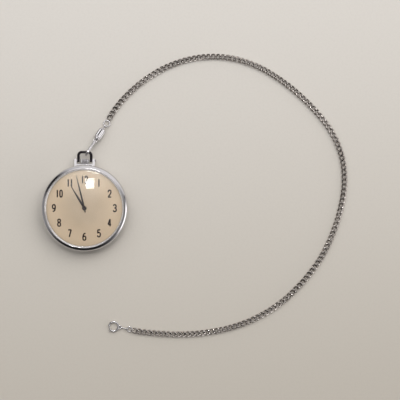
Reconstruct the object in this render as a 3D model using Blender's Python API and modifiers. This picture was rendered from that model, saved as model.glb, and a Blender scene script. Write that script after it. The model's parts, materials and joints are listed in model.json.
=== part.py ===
"""Open-face pocket watch with a curb chain, swivel clasp and bolt ring.

The watch lies on its back: the origin is the middle of its flat back, +Z points out of
the dial and +Y points to 12 o'clock, where the crown and the bow are.
"""

import math

import bmesh
import bpy
from mathutils import Matrix, Vector

MM = 0.001
MERGE = 1e-7

# Case.
CASE_RADIUS = 22.35 * MM
CASE_INNER_RADIUS = 19.6 * MM
CASE_SIDES = 40
BACK_FLAT_RADIUS = 16.0 * MM
BACK_WALL = 0.6 * MM
BACK_HEIGHT = 2.6 * MM
MIDDLE_BOTTOM = 2.9 * MM
MIDDLE_TOP = 6.6 * MM
BEZEL_TOP = 9.2 * MM
APERTURE_RADIUS = 20.2 * MM
CRYSTAL_RISE = 1.7 * MM
CRYSTAL_THICKNESS = 0.5 * MM
DIAL_THICKNESS = 0.4 * MM
DIAL_RADIUS = 20.4 * MM
SEAT_GAP = 0.3 * MM
FINE_GAP = 0.1 * MM

# Pendant, bow and crown.
STEM_Z = 4.3 * MM
STEM_RADIUS = 0.5 * MM
CROWN_RADIUS = 2.3 * MM
CROWN_LENGTH = 2.5 * MM
CROWN_RIBS = 24
PENDANT_DEPTH = 0.5 * MM
PENDANT_HEIGHT = 3.4 * MM
EAR_THICKNESS = 1.2 * MM
BOW_WIRE = 0.72 * MM
BOW_EYE_WALL = 0.1 * MM
BOW_EYE_SETBACK = 0.06 * MM
BOW_TAIL = 0.17 * MM
CROWN_SIDE_GAP = 0.28 * MM
BOW_SIDE_GAP = 0.08 * MM
BOW_HALF_WIDTH = CROWN_RADIUS + CROWN_SIDE_GAP + BOW_WIRE
PENDANT_WIDTH = 2 * (BOW_HALF_WIDTH + BOW_WIRE + BOW_SIDE_GAP + EAR_THICKNESS)
BOW_REACH = 4.3 * MM
BOW_CORNER = 1.7 * MM
BOW_PIN_RADIUS = 0.32 * MM
PIVOT_BEYOND_CASE = 2.3 * MM

# Hands.
HOUR_HAND_LENGTH = 13.7 * MM
MINUTE_HAND_LENGTH = 17.4 * MM
HOUR_HAND_WIDTH = 0.95 * MM
MINUTE_HAND_WIDTH = 0.78 * MM
MINUTE_HAND_TAIL = 2.4 * MM
HAND_THICKNESS = 0.15 * MM
HOUR_HAND_Z = 7.55 * MM
MINUTE_HAND_Z = 7.9 * MM
SHOWN_HOUR = 10
SHOWN_MINUTES = 57.7

# Movement: levels above the back, and the calibre's layout.
MOVEMENT_RADIUS = 17.0 * MM
BRIDGE_RADIUS = 16.7 * MM
KEYLESS_Z = (1.2 * MM, 1.8 * MM)
BRIDGE_Z = (2.0 * MM, 2.8 * MM)
PLATE_Z = (4.2 * MM, 5.6 * MM)
CENTRE_WHEEL_Z = (2.9 * MM, 3.1 * MM)
BARREL_Z = (3.25 * MM, 4.05 * MM)
FOURTH_WHEEL_Z = (3.3 * MM, 3.5 * MM)
THIRD_WHEEL_Z = (3.7 * MM, 3.9 * MM)
ESCAPE_WHEEL_Z = (3.5 * MM, 3.7 * MM)
BALANCE_Z = (3.4 * MM, 3.65 * MM)
HAIRSPRING_Z = 3.15 * MM
FORK_Z = (3.85 * MM, 4.05 * MM)
MOTION_Z = (5.8 * MM, 6.1 * MM)
HOUR_WHEEL_Z = (6.3 * MM, 6.6 * MM)
PIVOT_RADIUS = 0.25 * MM
JEWEL_GAP = 0.08 * MM

BARREL_TEETH, CENTRE_LEAVES = 56, 8
CENTRE_TEETH, THIRD_LEAVES = 48, 6
THIRD_TEETH, FOURTH_LEAVES = 45, 6
FOURTH_TEETH, ESCAPE_LEAVES = 48, 6
ESCAPE_TEETH = 15
FINE_TEETH = 20
CANNON_LEAVES, MINUTE_TEETH = 12, 36
MINUTE_LEAVES, HOUR_TEETH = 10, 40
WINDING_LEAVES, CROWN_TEETH, RATCHET_TEETH = 14, 21, 28

BARREL_PITCH = 7.0 * MM
CENTRE_PITCH = 5.25 * MM
THIRD_PITCH = 4.5 * MM
FOURTH_PITCH = 4.2 * MM
ESCAPE_RADIUS = 2.3 * MM
MOTION_DISTANCE = 3.4 * MM
RATCHET_PITCH = 4.4 * MM
BALANCE_RADIUS = 5.4 * MM
BARREL_ANGLE = math.radians(150)
THIRD_ANGLE = math.radians(20)
FOURTH_ANGLE = math.radians(-70)
ESCAPE_ANGLE = math.radians(-100)
MINUTE_WHEEL_ANGLE = math.radians(-60)
BALANCE_CENTRE = Vector((-2.2 * MM, -9.0 * MM))
PALLET_DISTANCE = 3.0 * MM
SCREW_RADIUS = 0.4 * MM
SCREW_HEAD = 0.85 * MM
PILLAR_RADIUS = 1.1 * MM

# Swivel clasp: its axis leaves the bow's wire and slopes down to the chain.
CLASP_HEADING = math.radians(57.4)
CLASP_DROP = math.radians(8.6)
HOOK_ACROSS = 1.55 * MM
HOOK_WIRE = 0.65 * MM
HOOK_HALF_HEIGHT = 1.7 * MM
HOOK_LENGTH = 7.3 * MM
GATE_WIRE = 0.42 * MM
COLLAR_AT = 8.3 * MM
COLLAR_RADIUS = 2.0 * MM
SWIVEL_RADIUS = 1.75 * MM
SWIVEL_LENGTH = 6.4 * MM
EYE_RADIUS = 0.95 * MM
EYE_WIRE = 0.33 * MM
JUMP_RING_RADIUS = 1.6 * MM
JUMP_RING_WIRE = 0.33 * MM

# Chain and its end pieces.
CHAIN_RADIUS = 1.2 * MM
CHAIN_POINTS = 68
END_Z = 0.9 * MM
END_RING_RADIUS = 1.2 * MM
END_RING_WIRE = 0.3 * MM
LINK_WIRE = 0.25 * MM
LINK_HALF_HEIGHT = 0.62 * MM
BOLT_RADIUS = 2.4 * MM
BOLT_WIRE = 0.5 * MM
BOLT_BORE = 0.36 * MM
TONGUE_WIRE = 0.24 * MM
BOLT_CENTRE = Vector((14.7 * MM, -61.6 * MM))
BOLT_HEADING = math.radians(-6)
BOLT_GAP = (math.radians(181), math.radians(226))
BOLT_TRAVEL = math.radians(35)

# Stations of the chain from the jump ring to the end ring, in millimetres.
CHAIN_ROUTE = (
    (12.1, 46.05), (15.3, 51.2), (20.3, 57.3), (26.9, 63.6), (34.7, 69.2), (43.2, 73.8),
    (52.3, 77.0), (62.0, 78.6), (72.2, 78.5), (82.0, 76.5), (91.4, 72.8), (99.9, 67.8),
    (107.9, 61.8), (115.3, 55.1), (122.2, 47.7), (128.2, 39.4), (132.4, 30.2),
    (134.5, 20.2), (134.5, 10.0), (132.8, 0.0), (130.0, -9.6), (126.3, -18.7),
    (121.7, -27.1), (116.1, -34.8), (109.7, -41.9), (102.7, -48.3), (94.9, -53.8),
    (86.2, -58.3), (76.9, -61.7), (67.2, -64.0), (57.1, -65.3), (46.7, -65.6),
    (35.9, -65.0), (30.3, -64.4), (24.6, -63.6),
)

MODEL = "pocket_watch"


def clear_scene():
    """Remove what the scene holds and return the model's and the cutters' collections."""
    for item in list(bpy.data.objects):
        bpy.data.objects.remove(item, do_unlink=True)
    collections = []
    for name in (MODEL, "cutters"):
        collection = bpy.data.collections.new(name)
        bpy.context.scene.collection.children.link(collection)
        collections.append(collection)
    return collections


PARTS, CUTTERS = clear_scene()


def make_material(name, colour, roughness, metallic):
    """Return a Principled material of one colour."""
    material = bpy.data.materials.new(name)
    material.use_nodes = True
    shader = material.node_tree.nodes["Principled BSDF"]
    shader.inputs["Base Color"].default_value = (*colour, 1.0)
    shader.inputs["Roughness"].default_value = roughness
    shader.inputs["Metallic"].default_value = metallic
    return material


CHROME = make_material("chrome", (0.62, 0.60, 0.61), 0.12, 1.0)
STEEL = make_material("steel", (0.50, 0.50, 0.50), 0.3, 1.0)
BRASS = make_material("brass", (0.60, 0.42, 0.16), 0.3, 1.0)
NICKEL = make_material("nickel", (0.56, 0.54, 0.50), 0.35, 1.0)
BLUED = make_material("blued_steel", (0.03, 0.04, 0.10), 0.3, 1.0)
GLASS = make_material("crystal_glass", (0.9, 0.92, 0.92), 0.02, 0.0)
CREAM = make_material("dial_cream", (0.50, 0.40, 0.29), 0.5, 0.0)
DARK = make_material("hand_black", (0.02, 0.015, 0.012), 0.35, 0.0)


def own_material(material, name):
    """Return a copy of a material for one sub-part."""
    copy = material.copy()
    copy.name = name
    return copy


def shade(mesh):
    """Shade a mesh smooth, with sharp edges kept."""
    mesh.shade_smooth()
    mesh.set_sharp_from_angle(angle=math.radians(35))


def add_object(name, mesh, material, location=(0, 0, 0), cutter=False):
    """Put a mesh in the model, or among the cutters, at a place."""
    item = bpy.data.objects.new(name, mesh)
    item.location = location
    if cutter:
        CUTTERS.objects.link(item)
        item.hide_render = True
        item.display_type = "WIRE"
    else:
        PARTS.objects.link(item)
        mesh.materials.append(own_material(material, name))
    return item


def bake(item, name, material, cutter=False):
    """Replace an object by the mesh it evaluates to, with its caps welded."""
    bpy.context.view_layer.update()
    graph = bpy.context.evaluated_depsgraph_get()
    mesh = bpy.data.meshes.new_from_object(item.evaluated_get(graph))
    place = item.matrix_world.copy()
    bpy.data.objects.remove(item, do_unlink=True)
    work = bmesh.new()
    work.from_mesh(mesh)
    bmesh.ops.remove_doubles(work, verts=work.verts, dist=MERGE)
    bmesh.ops.recalc_face_normals(work, faces=work.faces)
    work.to_mesh(mesh)
    work.free()
    mesh.materials.clear()
    mesh.name = name
    shade(mesh)
    solid = add_object(name, mesh, material, cutter=cutter)
    solid.matrix_world = place
    return solid


def turned(name, profile, sides, material, location=(0, 0, 0), cutter=False):
    """Turn a profile of (radius, height) points about Z, closed where it leaves the axis."""
    mesh = bpy.data.meshes.new(name)
    points = [(radius, 0, height) for radius, height in profile]
    edges = [(i, i + 1) for i in range(len(points) - 1)]
    on_axis = profile[0][0] == 0 and profile[-1][0] == 0
    if not on_axis:
        edges.append((len(points) - 1, 0))
    mesh.from_pydata(points, edges, [])
    item = bpy.data.objects.new(name, mesh)
    PARTS.objects.link(item)
    item.location = location
    screw = item.modifiers.new("turn", "SCREW")
    screw.steps = screw.render_steps = sides
    screw.use_merge_vertices = True
    screw.merge_threshold = MERGE
    screw.use_smooth_shade = True
    return bake(item, name, material, cutter)


def rod(name, radius, bottom, top, material, location=(0, 0, 0), sides=12, cutter=False):
    """Make a plain round rod along Z."""
    profile = ((0, top), (radius, top), (radius, bottom), (0, bottom))
    return turned(name, profile, sides, material, location, cutter)


def plate(name, outlines, levels, material, location=(0, 0, 0), cutter=False):
    """Extrude flat outlines between two levels; inner outlines are openings."""
    curve = bpy.data.curves.new(name, "CURVE")
    curve.dimensions = "2D"
    curve.fill_mode = "BOTH"
    curve.extrude = (levels[1] - levels[0]) / 2
    for outline in outlines:
        spline = curve.splines.new("POLY")
        spline.points.add(len(outline) - 1)
        for point, (x, y) in zip(spline.points, outline):
            point.co = (x, y, 0, 1)
        spline.use_cyclic_u = True
    item = bpy.data.objects.new(name, curve)
    PARTS.objects.link(item)
    bpy.context.view_layer.update()
    item.location = Vector((*location[:2], 0)) + Vector((0, 0, (levels[0] + levels[1]) / 2))
    return bake(item, name, material, cutter)


def wire(name, points, radius, material, location=(0, 0, 0), closed=False, radii=None,
         fineness=2, cutter=False):
    """Sweep a round wire along points."""
    curve = bpy.data.curves.new(name, "CURVE")
    curve.dimensions = "3D"
    curve.bevel_depth = radius
    curve.bevel_resolution = fineness
    curve.use_fill_caps = not closed
    spline = curve.splines.new("POLY")
    spline.points.add(len(points) - 1)
    for index, (x, y, z) in enumerate(points):
        spline.points[index].co = (x, y, z, 1)
        spline.points[index].radius = radii[index] if radii else 1.0
    spline.use_cyclic_u = closed
    item = bpy.data.objects.new(name, curve)
    PARTS.objects.link(item)
    item.location = location
    return bake(item, name, material, cutter)


def box(name, low, high, material=None, cutter=False):
    """Make a block between two corners."""
    mesh = bpy.data.meshes.new(name)
    work = bmesh.new()
    bmesh.ops.create_cube(work, size=1.0)
    size = [high[i] - low[i] for i in range(3)]
    middle = [(high[i] + low[i]) / 2 for i in range(3)]
    bmesh.ops.scale(work, vec=size, verts=work.verts)
    bmesh.ops.translate(work, vec=middle, verts=work.verts)
    work.to_mesh(mesh)
    work.free()
    return add_object(name, mesh, material, cutter=cutter)


def boolean(item, tool, operation):
    """Cut or join an object with a tool object, which becomes a cutter."""
    if tool.name in PARTS.objects:
        PARTS.objects.unlink(tool)
        CUTTERS.objects.link(tool)
    tool.hide_render = True
    tool.display_type = "WIRE"
    modifier = item.modifiers.new(tool.name, "BOOLEAN")
    modifier.operation = operation
    modifier.object = tool
    return item


def cut(item, tool):
    """Take the tool's shape out of an object."""
    return boolean(item, tool, "DIFFERENCE")


def join(item, tool):
    """Add the tool's shape to an object."""
    return boolean(item, tool, "UNION")


def circle(radius, sides, start=0.0):
    """Return the points of a circle."""
    step = 2 * math.pi / sides
    return [(radius * math.cos(start + i * step), radius * math.sin(start + i * step))
            for i in range(sides)]


def arc(radius, start, end, steps, centre=(0, 0)):
    """Return points along an arc, both ends included."""
    angles = [start + (end - start) * i / steps for i in range(steps + 1)]
    return [(centre[0] + radius * math.cos(a), centre[1] + radius * math.sin(a))
            for a in angles]


def toothed(teeth, pitch, phase=0.0):
    """Return the outline of a gear with a tooth centred at the phase angle."""
    step = 2 * math.pi / teeth
    module = 2 * pitch / teeth
    tip, root = pitch + 0.65 * module, pitch - 0.95 * module
    leaf = ((-0.27, root), (-0.1, tip), (0.1, tip), (0.27, root))
    outline = []
    for tooth in range(teeth):
        middle = phase + tooth * step
        for share, radius in leaf if teeth < FINE_TEETH else ((0.0, tip), (0.5, root)):
            angle = middle + share * step
            outline.append((radius * math.cos(angle), radius * math.sin(angle)))
    return outline


def meshed_phase(phase, teeth, other_teeth, heading):
    """Return the phase of a gear that meshes with another, which lies against its heading."""
    offset = (heading - phase) * teeth / (2 * math.pi)
    return heading + math.pi - (0.5 - offset) * 2 * math.pi / other_teeth


def spoke_openings(inner, outer, count, rib):
    """Return the outlines of the openings between a wheel's spokes."""
    openings = []
    for index in range(count):
        start = 2 * math.pi * index / count
        end = start + 2 * math.pi / count
        outer_rib, inner_rib = rib / outer, rib / inner
        rim = arc(outer, start + outer_rib, end - outer_rib, 4)
        hub = arc(inner, end - inner_rib, start + inner_rib, 1)
        openings.append(rim + hub)
    return openings


def polar(distance, angle):
    """Return a flat vector."""
    return Vector((distance * math.cos(angle), distance * math.sin(angle)))


def frame_along(heading, drop, origin):
    """Return a placement whose +X follows a heading that slopes down by an angle."""
    turn = Matrix.Rotation(heading, 4, "Z") @ Matrix.Rotation(drop, 4, "Y")
    return Matrix.Translation(origin) @ turn


CENTRE = Vector((0, 0))
BARREL_CENTRE = polar(BARREL_PITCH * (1 + CENTRE_LEAVES / BARREL_TEETH), BARREL_ANGLE)
THIRD_CENTRE = polar(CENTRE_PITCH * (1 + THIRD_LEAVES / CENTRE_TEETH), THIRD_ANGLE)
FOURTH_CENTRE = THIRD_CENTRE + polar(THIRD_PITCH * (1 + FOURTH_LEAVES / THIRD_TEETH),
                                     FOURTH_ANGLE)
ESCAPE_CENTRE = FOURTH_CENTRE + polar(FOURTH_PITCH * (1 + ESCAPE_LEAVES / FOURTH_TEETH),
                                      ESCAPE_ANGLE)
PALLET_CENTRE = ESCAPE_CENTRE + (BALANCE_CENTRE - ESCAPE_CENTRE).normalized() * PALLET_DISTANCE
MINUTE_WHEEL_CENTRE = polar(MOTION_DISTANCE, MINUTE_WHEEL_ANGLE)
CROWN_PITCH = RATCHET_PITCH * CROWN_TEETH / RATCHET_TEETH
WINDING_PITCH = RATCHET_PITCH * WINDING_LEAVES / RATCHET_TEETH
CROWN_WHEEL_REACH = math.sqrt((RATCHET_PITCH + CROWN_PITCH) ** 2 - BARREL_CENTRE.x ** 2)
CROWN_WHEEL_CENTRE = Vector((0, BARREL_CENTRE.y + CROWN_WHEEL_REACH))
PIVOTS = (CENTRE, BARREL_CENTRE, THIRD_CENTRE, FOURTH_CENTRE, ESCAPE_CENTRE, PALLET_CENTRE,
          BALANCE_CENTRE)
SCREW_PLACES = {
    "barrel_bridge": (polar(15.3 * MM, math.radians(62)), polar(15.6 * MM, math.radians(192))),
    "train_bridge": (polar(14.8 * MM, math.radians(20)), polar(15.0 * MM, math.radians(-53))),
    "balance_cock": (polar(15.0 * MM, math.radians(221)), polar(15.3 * MM, math.radians(209))),
}
BOW_PIVOT = Vector((0, CASE_RADIUS + PIVOT_BEYOND_CASE, STEM_Z))
HOOK_AT = BOW_PIVOT + Vector((HOOK_ACROSS, BOW_REACH, 0))
PENDANT_TOP = CASE_RADIUS + PENDANT_DEPTH
CROWN_START = PENDANT_TOP + FINE_GAP


def gear(name, teeth, pitch, phase, levels, material, centre, hub=0.0, openings=0):
    """Make a flat gear, with spokes where it has openings, standing at its arbor."""
    outlines = [toothed(teeth, pitch, phase)]
    if openings:
        module = 2 * pitch / teeth
        outlines += spoke_openings(hub, pitch - 3 * module, openings, 0.35 * MM)
    return plate(name, outlines, levels, material, location=(*centre, 0))


def arbor(item, name, centre, bottom, top, radius=PIVOT_RADIUS):
    """Join an arbor to a wheel."""
    shaft = rod(name + "_arbor", radius, bottom, top, STEEL, (*centre, 0), cutter=True)
    return join(item, shaft)


def pinion(item, name, leaves, pitch, phase, levels, centre):
    """Join a pinion to a wheel."""
    leaf = plate(name + "_pinion", [toothed(leaves, pitch, phase)], levels, STEEL,
                 location=(*centre, 0), cutter=True)
    return join(item, leaf)


def build_case():
    """Make the back, the middle, the bezel and the crystal."""
    edge = CASE_RADIUS - 0.9 * MM
    inner_flat = BACK_FLAT_RADIUS - 0.3 * MM
    turned("case_back", (
        (0, BACK_WALL), (inner_flat, BACK_WALL), (edge - 2.2 * MM, BACK_WALL + 0.7 * MM),
        (edge - 0.9 * MM, BACK_WALL + 1.3 * MM), (edge - 0.7 * MM, BACK_HEIGHT),
        (edge, BACK_HEIGHT), (edge - 0.2 * MM, 1.7 * MM), (edge - 1.7 * MM, 0.7 * MM),
        (BACK_FLAT_RADIUS + 1.8 * MM, 0.15 * MM), (BACK_FLAT_RADIUS, 0), (0, 0)),
        CASE_SIDES, CHROME)
    middle = turned("case_middle", (
        (CASE_RADIUS - 0.55 * MM, MIDDLE_TOP), (CASE_RADIUS - 0.12 * MM, MIDDLE_TOP - 0.9 * MM),
        (CASE_RADIUS, (MIDDLE_TOP + MIDDLE_BOTTOM) / 2),
        (CASE_RADIUS - 0.12 * MM, MIDDLE_BOTTOM + 0.9 * MM),
        (CASE_RADIUS - 0.55 * MM, MIDDLE_BOTTOM), (CASE_INNER_RADIUS, MIDDLE_BOTTOM),
        (CASE_INNER_RADIUS, MIDDLE_TOP)), CASE_SIDES, CHROME)
    cut(middle, stem_bore("case_stem_bore", STEM_RADIUS + SEAT_GAP, CASE_INNER_RADIUS - MM,
                          CASE_RADIUS + MM))
    ledge = APERTURE_RADIUS - 0.5 * MM
    ledge_top = MIDDLE_TOP + SEAT_GAP + DIAL_THICKNESS + 0.5 * MM
    dial_recess = DIAL_RADIUS + SEAT_GAP
    bezel_base = MIDDLE_TOP + SEAT_GAP
    turned("bezel", (
        (APERTURE_RADIUS, BEZEL_TOP - 0.1 * MM), (APERTURE_RADIUS + 0.35 * MM, BEZEL_TOP),
        (APERTURE_RADIUS + 1.0 * MM, BEZEL_TOP - 0.35 * MM),
        (CASE_RADIUS - 0.75 * MM, BEZEL_TOP - 1.15 * MM), (CASE_RADIUS - 0.5 * MM, bezel_base),
        (dial_recess, bezel_base), (dial_recess, ledge_top - 0.2 * MM),
        (ledge, ledge_top - 0.2 * MM), (ledge, ledge_top), (APERTURE_RADIUS, ledge_top)),
        CASE_SIDES, CHROME)
    build_crystal(ledge_top)


def build_crystal(ledge_top):
    """Make the domed glass that sits on the bezel's ledge."""
    outer = APERTURE_RADIUS - FINE_GAP
    edge_bottom = ledge_top + FINE_GAP
    edge_top = edge_bottom + CRYSTAL_THICKNESS + 0.1 * MM
    steps = 4
    upper = [(outer * i / steps, edge_top + CRYSTAL_RISE * (1 - (i / steps) ** 2))
             for i in range(steps + 1)]
    inner = outer - 0.9 * MM
    lower = [(inner * i / steps, edge_bottom + CRYSTAL_RISE * (1 - (i / steps) ** 2))
             for i in range(steps, -1, -1)]
    turned("crystal", upper + [(outer, edge_bottom)] + lower, CASE_SIDES, GLASS)


def stem_bore(name, radius, start, end):
    """Return a cutter along the stem's line."""
    bore = rod(name, radius, start, end, STEEL, cutter=True)
    bore.matrix_world = Matrix.Translation((0, 0, STEM_Z)) @ Matrix.Rotation(
        -math.pi / 2, 4, "X")
    return bore


def across(name, radius, start, end, centre, material, cutter=False, sides=12):
    """Make a rod along X through a centre."""
    item = rod(name, radius, start, end, material, cutter=cutter, sides=sides)
    item.matrix_world = Matrix.Translation(centre) @ Matrix.Rotation(math.pi / 2, 4, "Y")
    return item


def build_pendant():
    """Make the pendant with its two ears, the bow and the bow's screws."""
    half = PENDANT_WIDTH / 2
    low = STEM_Z - PENDANT_HEIGHT / 2
    high = STEM_Z + PENDANT_HEIGHT / 2
    ear_top = BOW_PIVOT.y + 0.85 * MM
    pendant = box("pendant", (-half, CASE_RADIUS - 1.5 * MM, low), (half, ear_top, high), CHROME)
    bevel = pendant.modifiers.new("rounding", "BEVEL")
    bevel.width = 0.3 * MM
    bevel.segments = 2
    fork = box("pendant_fork", (-half + EAR_THICKNESS, PENDANT_TOP, low - MM),
               (half - EAR_THICKNESS, ear_top + MM, high + MM), cutter=True)
    cut(pendant, fork)
    seat = turned("pendant_seat", ((0, high + MM), (CASE_RADIUS + FINE_GAP, high + MM),
                                   (CASE_RADIUS + FINE_GAP, low - MM), (0, low - MM)),
                  CASE_SIDES, CHROME, cutter=True)
    cut(pendant, seat)
    cut(pendant, stem_bore("pendant_stem_bore", STEM_RADIUS + SEAT_GAP, CASE_RADIUS - 2 * MM,
                           CASE_RADIUS + 4 * MM))
    cut(pendant, across("pendant_screw_bore", BOW_PIN_RADIUS + FINE_GAP, -half - MM,
                        half + MM, BOW_PIVOT, CHROME, cutter=True))
    build_bow()
    inner_end = BOW_HALF_WIDTH - BOW_WIRE
    for side, name in ((-1, "bow_screw_left"), (1, "bow_screw_right")):
        ends = sorted((side * inner_end, side * (half + 0.05 * MM)))
        screw = across(name, BOW_PIN_RADIUS, *ends, BOW_PIVOT, STEEL)
        head_ends = sorted((side * (half + 0.02 * MM), side * (half + 0.4 * MM)))
        join(screw, across(name + "_head", 0.65 * MM, *head_ends, BOW_PIVOT, STEEL,
                           cutter=True))


def build_bow():
    """Make the stirrup-shaped bow, which swings on its two screws."""
    corner = BOW_CORNER
    side_top = BOW_REACH - corner
    points = [(-BOW_HALF_WIDTH, -BOW_TAIL), (-BOW_HALF_WIDTH, side_top / 2)]
    points += arc(corner, math.pi, math.pi / 2, 5, (-BOW_HALF_WIDTH + corner, side_top))
    points += arc(corner, math.pi / 2, 0, 5, (BOW_HALF_WIDTH - corner, side_top))
    points += [(BOW_HALF_WIDTH, side_top / 2), (BOW_HALF_WIDTH, -BOW_TAIL)]
    shape = [(x, y, 0) for x, y in points]
    widths = [1.0] * 4 + [0.93] * (len(points) - 8) + [1.0] * 4
    bow = wire("bow", shape, BOW_WIRE, CHROME, BOW_PIVOT, radii=widths)
    for side in (-1, 1):
        eye_half = BOW_WIRE - BOW_EYE_SETBACK
        ends = sorted((side * (BOW_HALF_WIDTH - eye_half), side * (BOW_HALF_WIDTH + eye_half)))
        join(bow, across("bow_end", BOW_WIRE + BOW_EYE_WALL, *ends, BOW_PIVOT, CHROME,
                         cutter=True))
        bore_ends = sorted((side * (BOW_HALF_WIDTH - 2 * BOW_WIRE),
                            side * (BOW_HALF_WIDTH + 2 * BOW_WIRE)))
        cut(bow, across("bow_bore", BOW_PIN_RADIUS + FINE_GAP, *bore_ends, BOW_PIVOT, CHROME,
                        cutter=True))


def build_winding():
    """Make the crown, the stem and the winding pinion."""
    upright = Matrix.Rotation(-math.pi / 2, 4, "X")
    ribs = []
    for rib in range(CROWN_RIBS):
        step = 2 * math.pi / CROWN_RIBS
        for share, radius in ((-0.25, CROWN_RADIUS), (0.25, CROWN_RADIUS),
                              (0.5, CROWN_RADIUS - 0.15 * MM)):
            angle = (rib + share) * step
            ribs.append((radius * math.cos(angle), radius * math.sin(angle)))
    crown = plate("crown", [ribs], (CROWN_START, CROWN_START + CROWN_LENGTH), CHROME)
    crown.matrix_world = Matrix.Translation((0, 0, STEM_Z)) @ upright @ crown.matrix_world
    inner_end = CROWN_WHEEL_CENTRE.y + 0.5 * MM
    cut(crown, stem_bore("crown_bore", STEM_RADIUS + FINE_GAP, CROWN_START - MM,
                         CROWN_START + CROWN_LENGTH - 0.6 * MM))
    stem = rod("stem", STEM_RADIUS, inner_end, CROWN_START + CROWN_LENGTH - 0.7 * MM, STEEL)
    stem.matrix_world = Matrix.Translation((0, 0, STEM_Z)) @ upright
    contact = CROWN_WHEEL_CENTRE.y + CROWN_PITCH
    wheel = plate("winding_pinion", [toothed(WINDING_LEAVES, WINDING_PITCH),
                                     circle(STEM_RADIUS + FINE_GAP, 16)],
                  (contact - 0.7 * MM, contact + 0.7 * MM), STEEL)
    wheel.matrix_world = Matrix.Translation((0, 0, STEM_Z)) @ upright @ wheel.matrix_world


def build_keyless():
    """Make the crown wheel and the ratchet wheel on the back of the barrel bridge."""
    heading = math.atan2(CROWN_WHEEL_CENTRE.y - BARREL_CENTRE.y, -BARREL_CENTRE.x)
    ratchet_phase = 0.0
    crown_phase = meshed_phase(ratchet_phase, RATCHET_TEETH, CROWN_TEETH, heading)
    ratchet = gear("ratchet_wheel", RATCHET_TEETH, RATCHET_PITCH, ratchet_phase, KEYLESS_Z,
                   STEEL, BARREL_CENTRE)
    crown_wheel = gear("crown_wheel", CROWN_TEETH, CROWN_PITCH, crown_phase, KEYLESS_Z, STEEL,
                       CROWN_WHEEL_CENTRE)
    bore = SCREW_RADIUS + FINE_GAP
    for wheel, centre in ((ratchet, BARREL_CENTRE), (crown_wheel, CROWN_WHEEL_CENTRE)):
        cut(wheel, rod(wheel.name + "_bore", bore, 0, PLATE_Z[1], STEEL, (*centre, 0),
                       cutter=True))
    build_screw("crown_wheel_screw", CROWN_WHEEL_CENTRE, KEYLESS_Z[0], BRIDGE_Z[1] - 0.1 * MM)
    click_at = BARREL_CENTRE + polar(RATCHET_PITCH + 1.15 * MM, math.radians(205))
    beak = [(-0.35 * MM, 1.5 * MM), (-0.5 * MM, 0.4 * MM), (-0.3 * MM, -0.5 * MM),
            (0.4 * MM, -0.5 * MM), (0.5 * MM, 0.4 * MM), (0.1 * MM, 1.4 * MM)]
    plate("click", [beak], KEYLESS_Z, STEEL, location=(*click_at, 0))


def build_screw(name, centre, seat, end):
    """Make a bridge screw whose head lies below its seat."""
    screw = turned(name, (
        (0, end), (SCREW_RADIUS, end), (SCREW_RADIUS, seat - FINE_GAP),
        (SCREW_HEAD, seat - FINE_GAP), (SCREW_HEAD, seat - 0.3 * MM), (0, seat - 0.3 * MM)),
        12, BLUED, (*centre, 0))
    return screw


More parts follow.
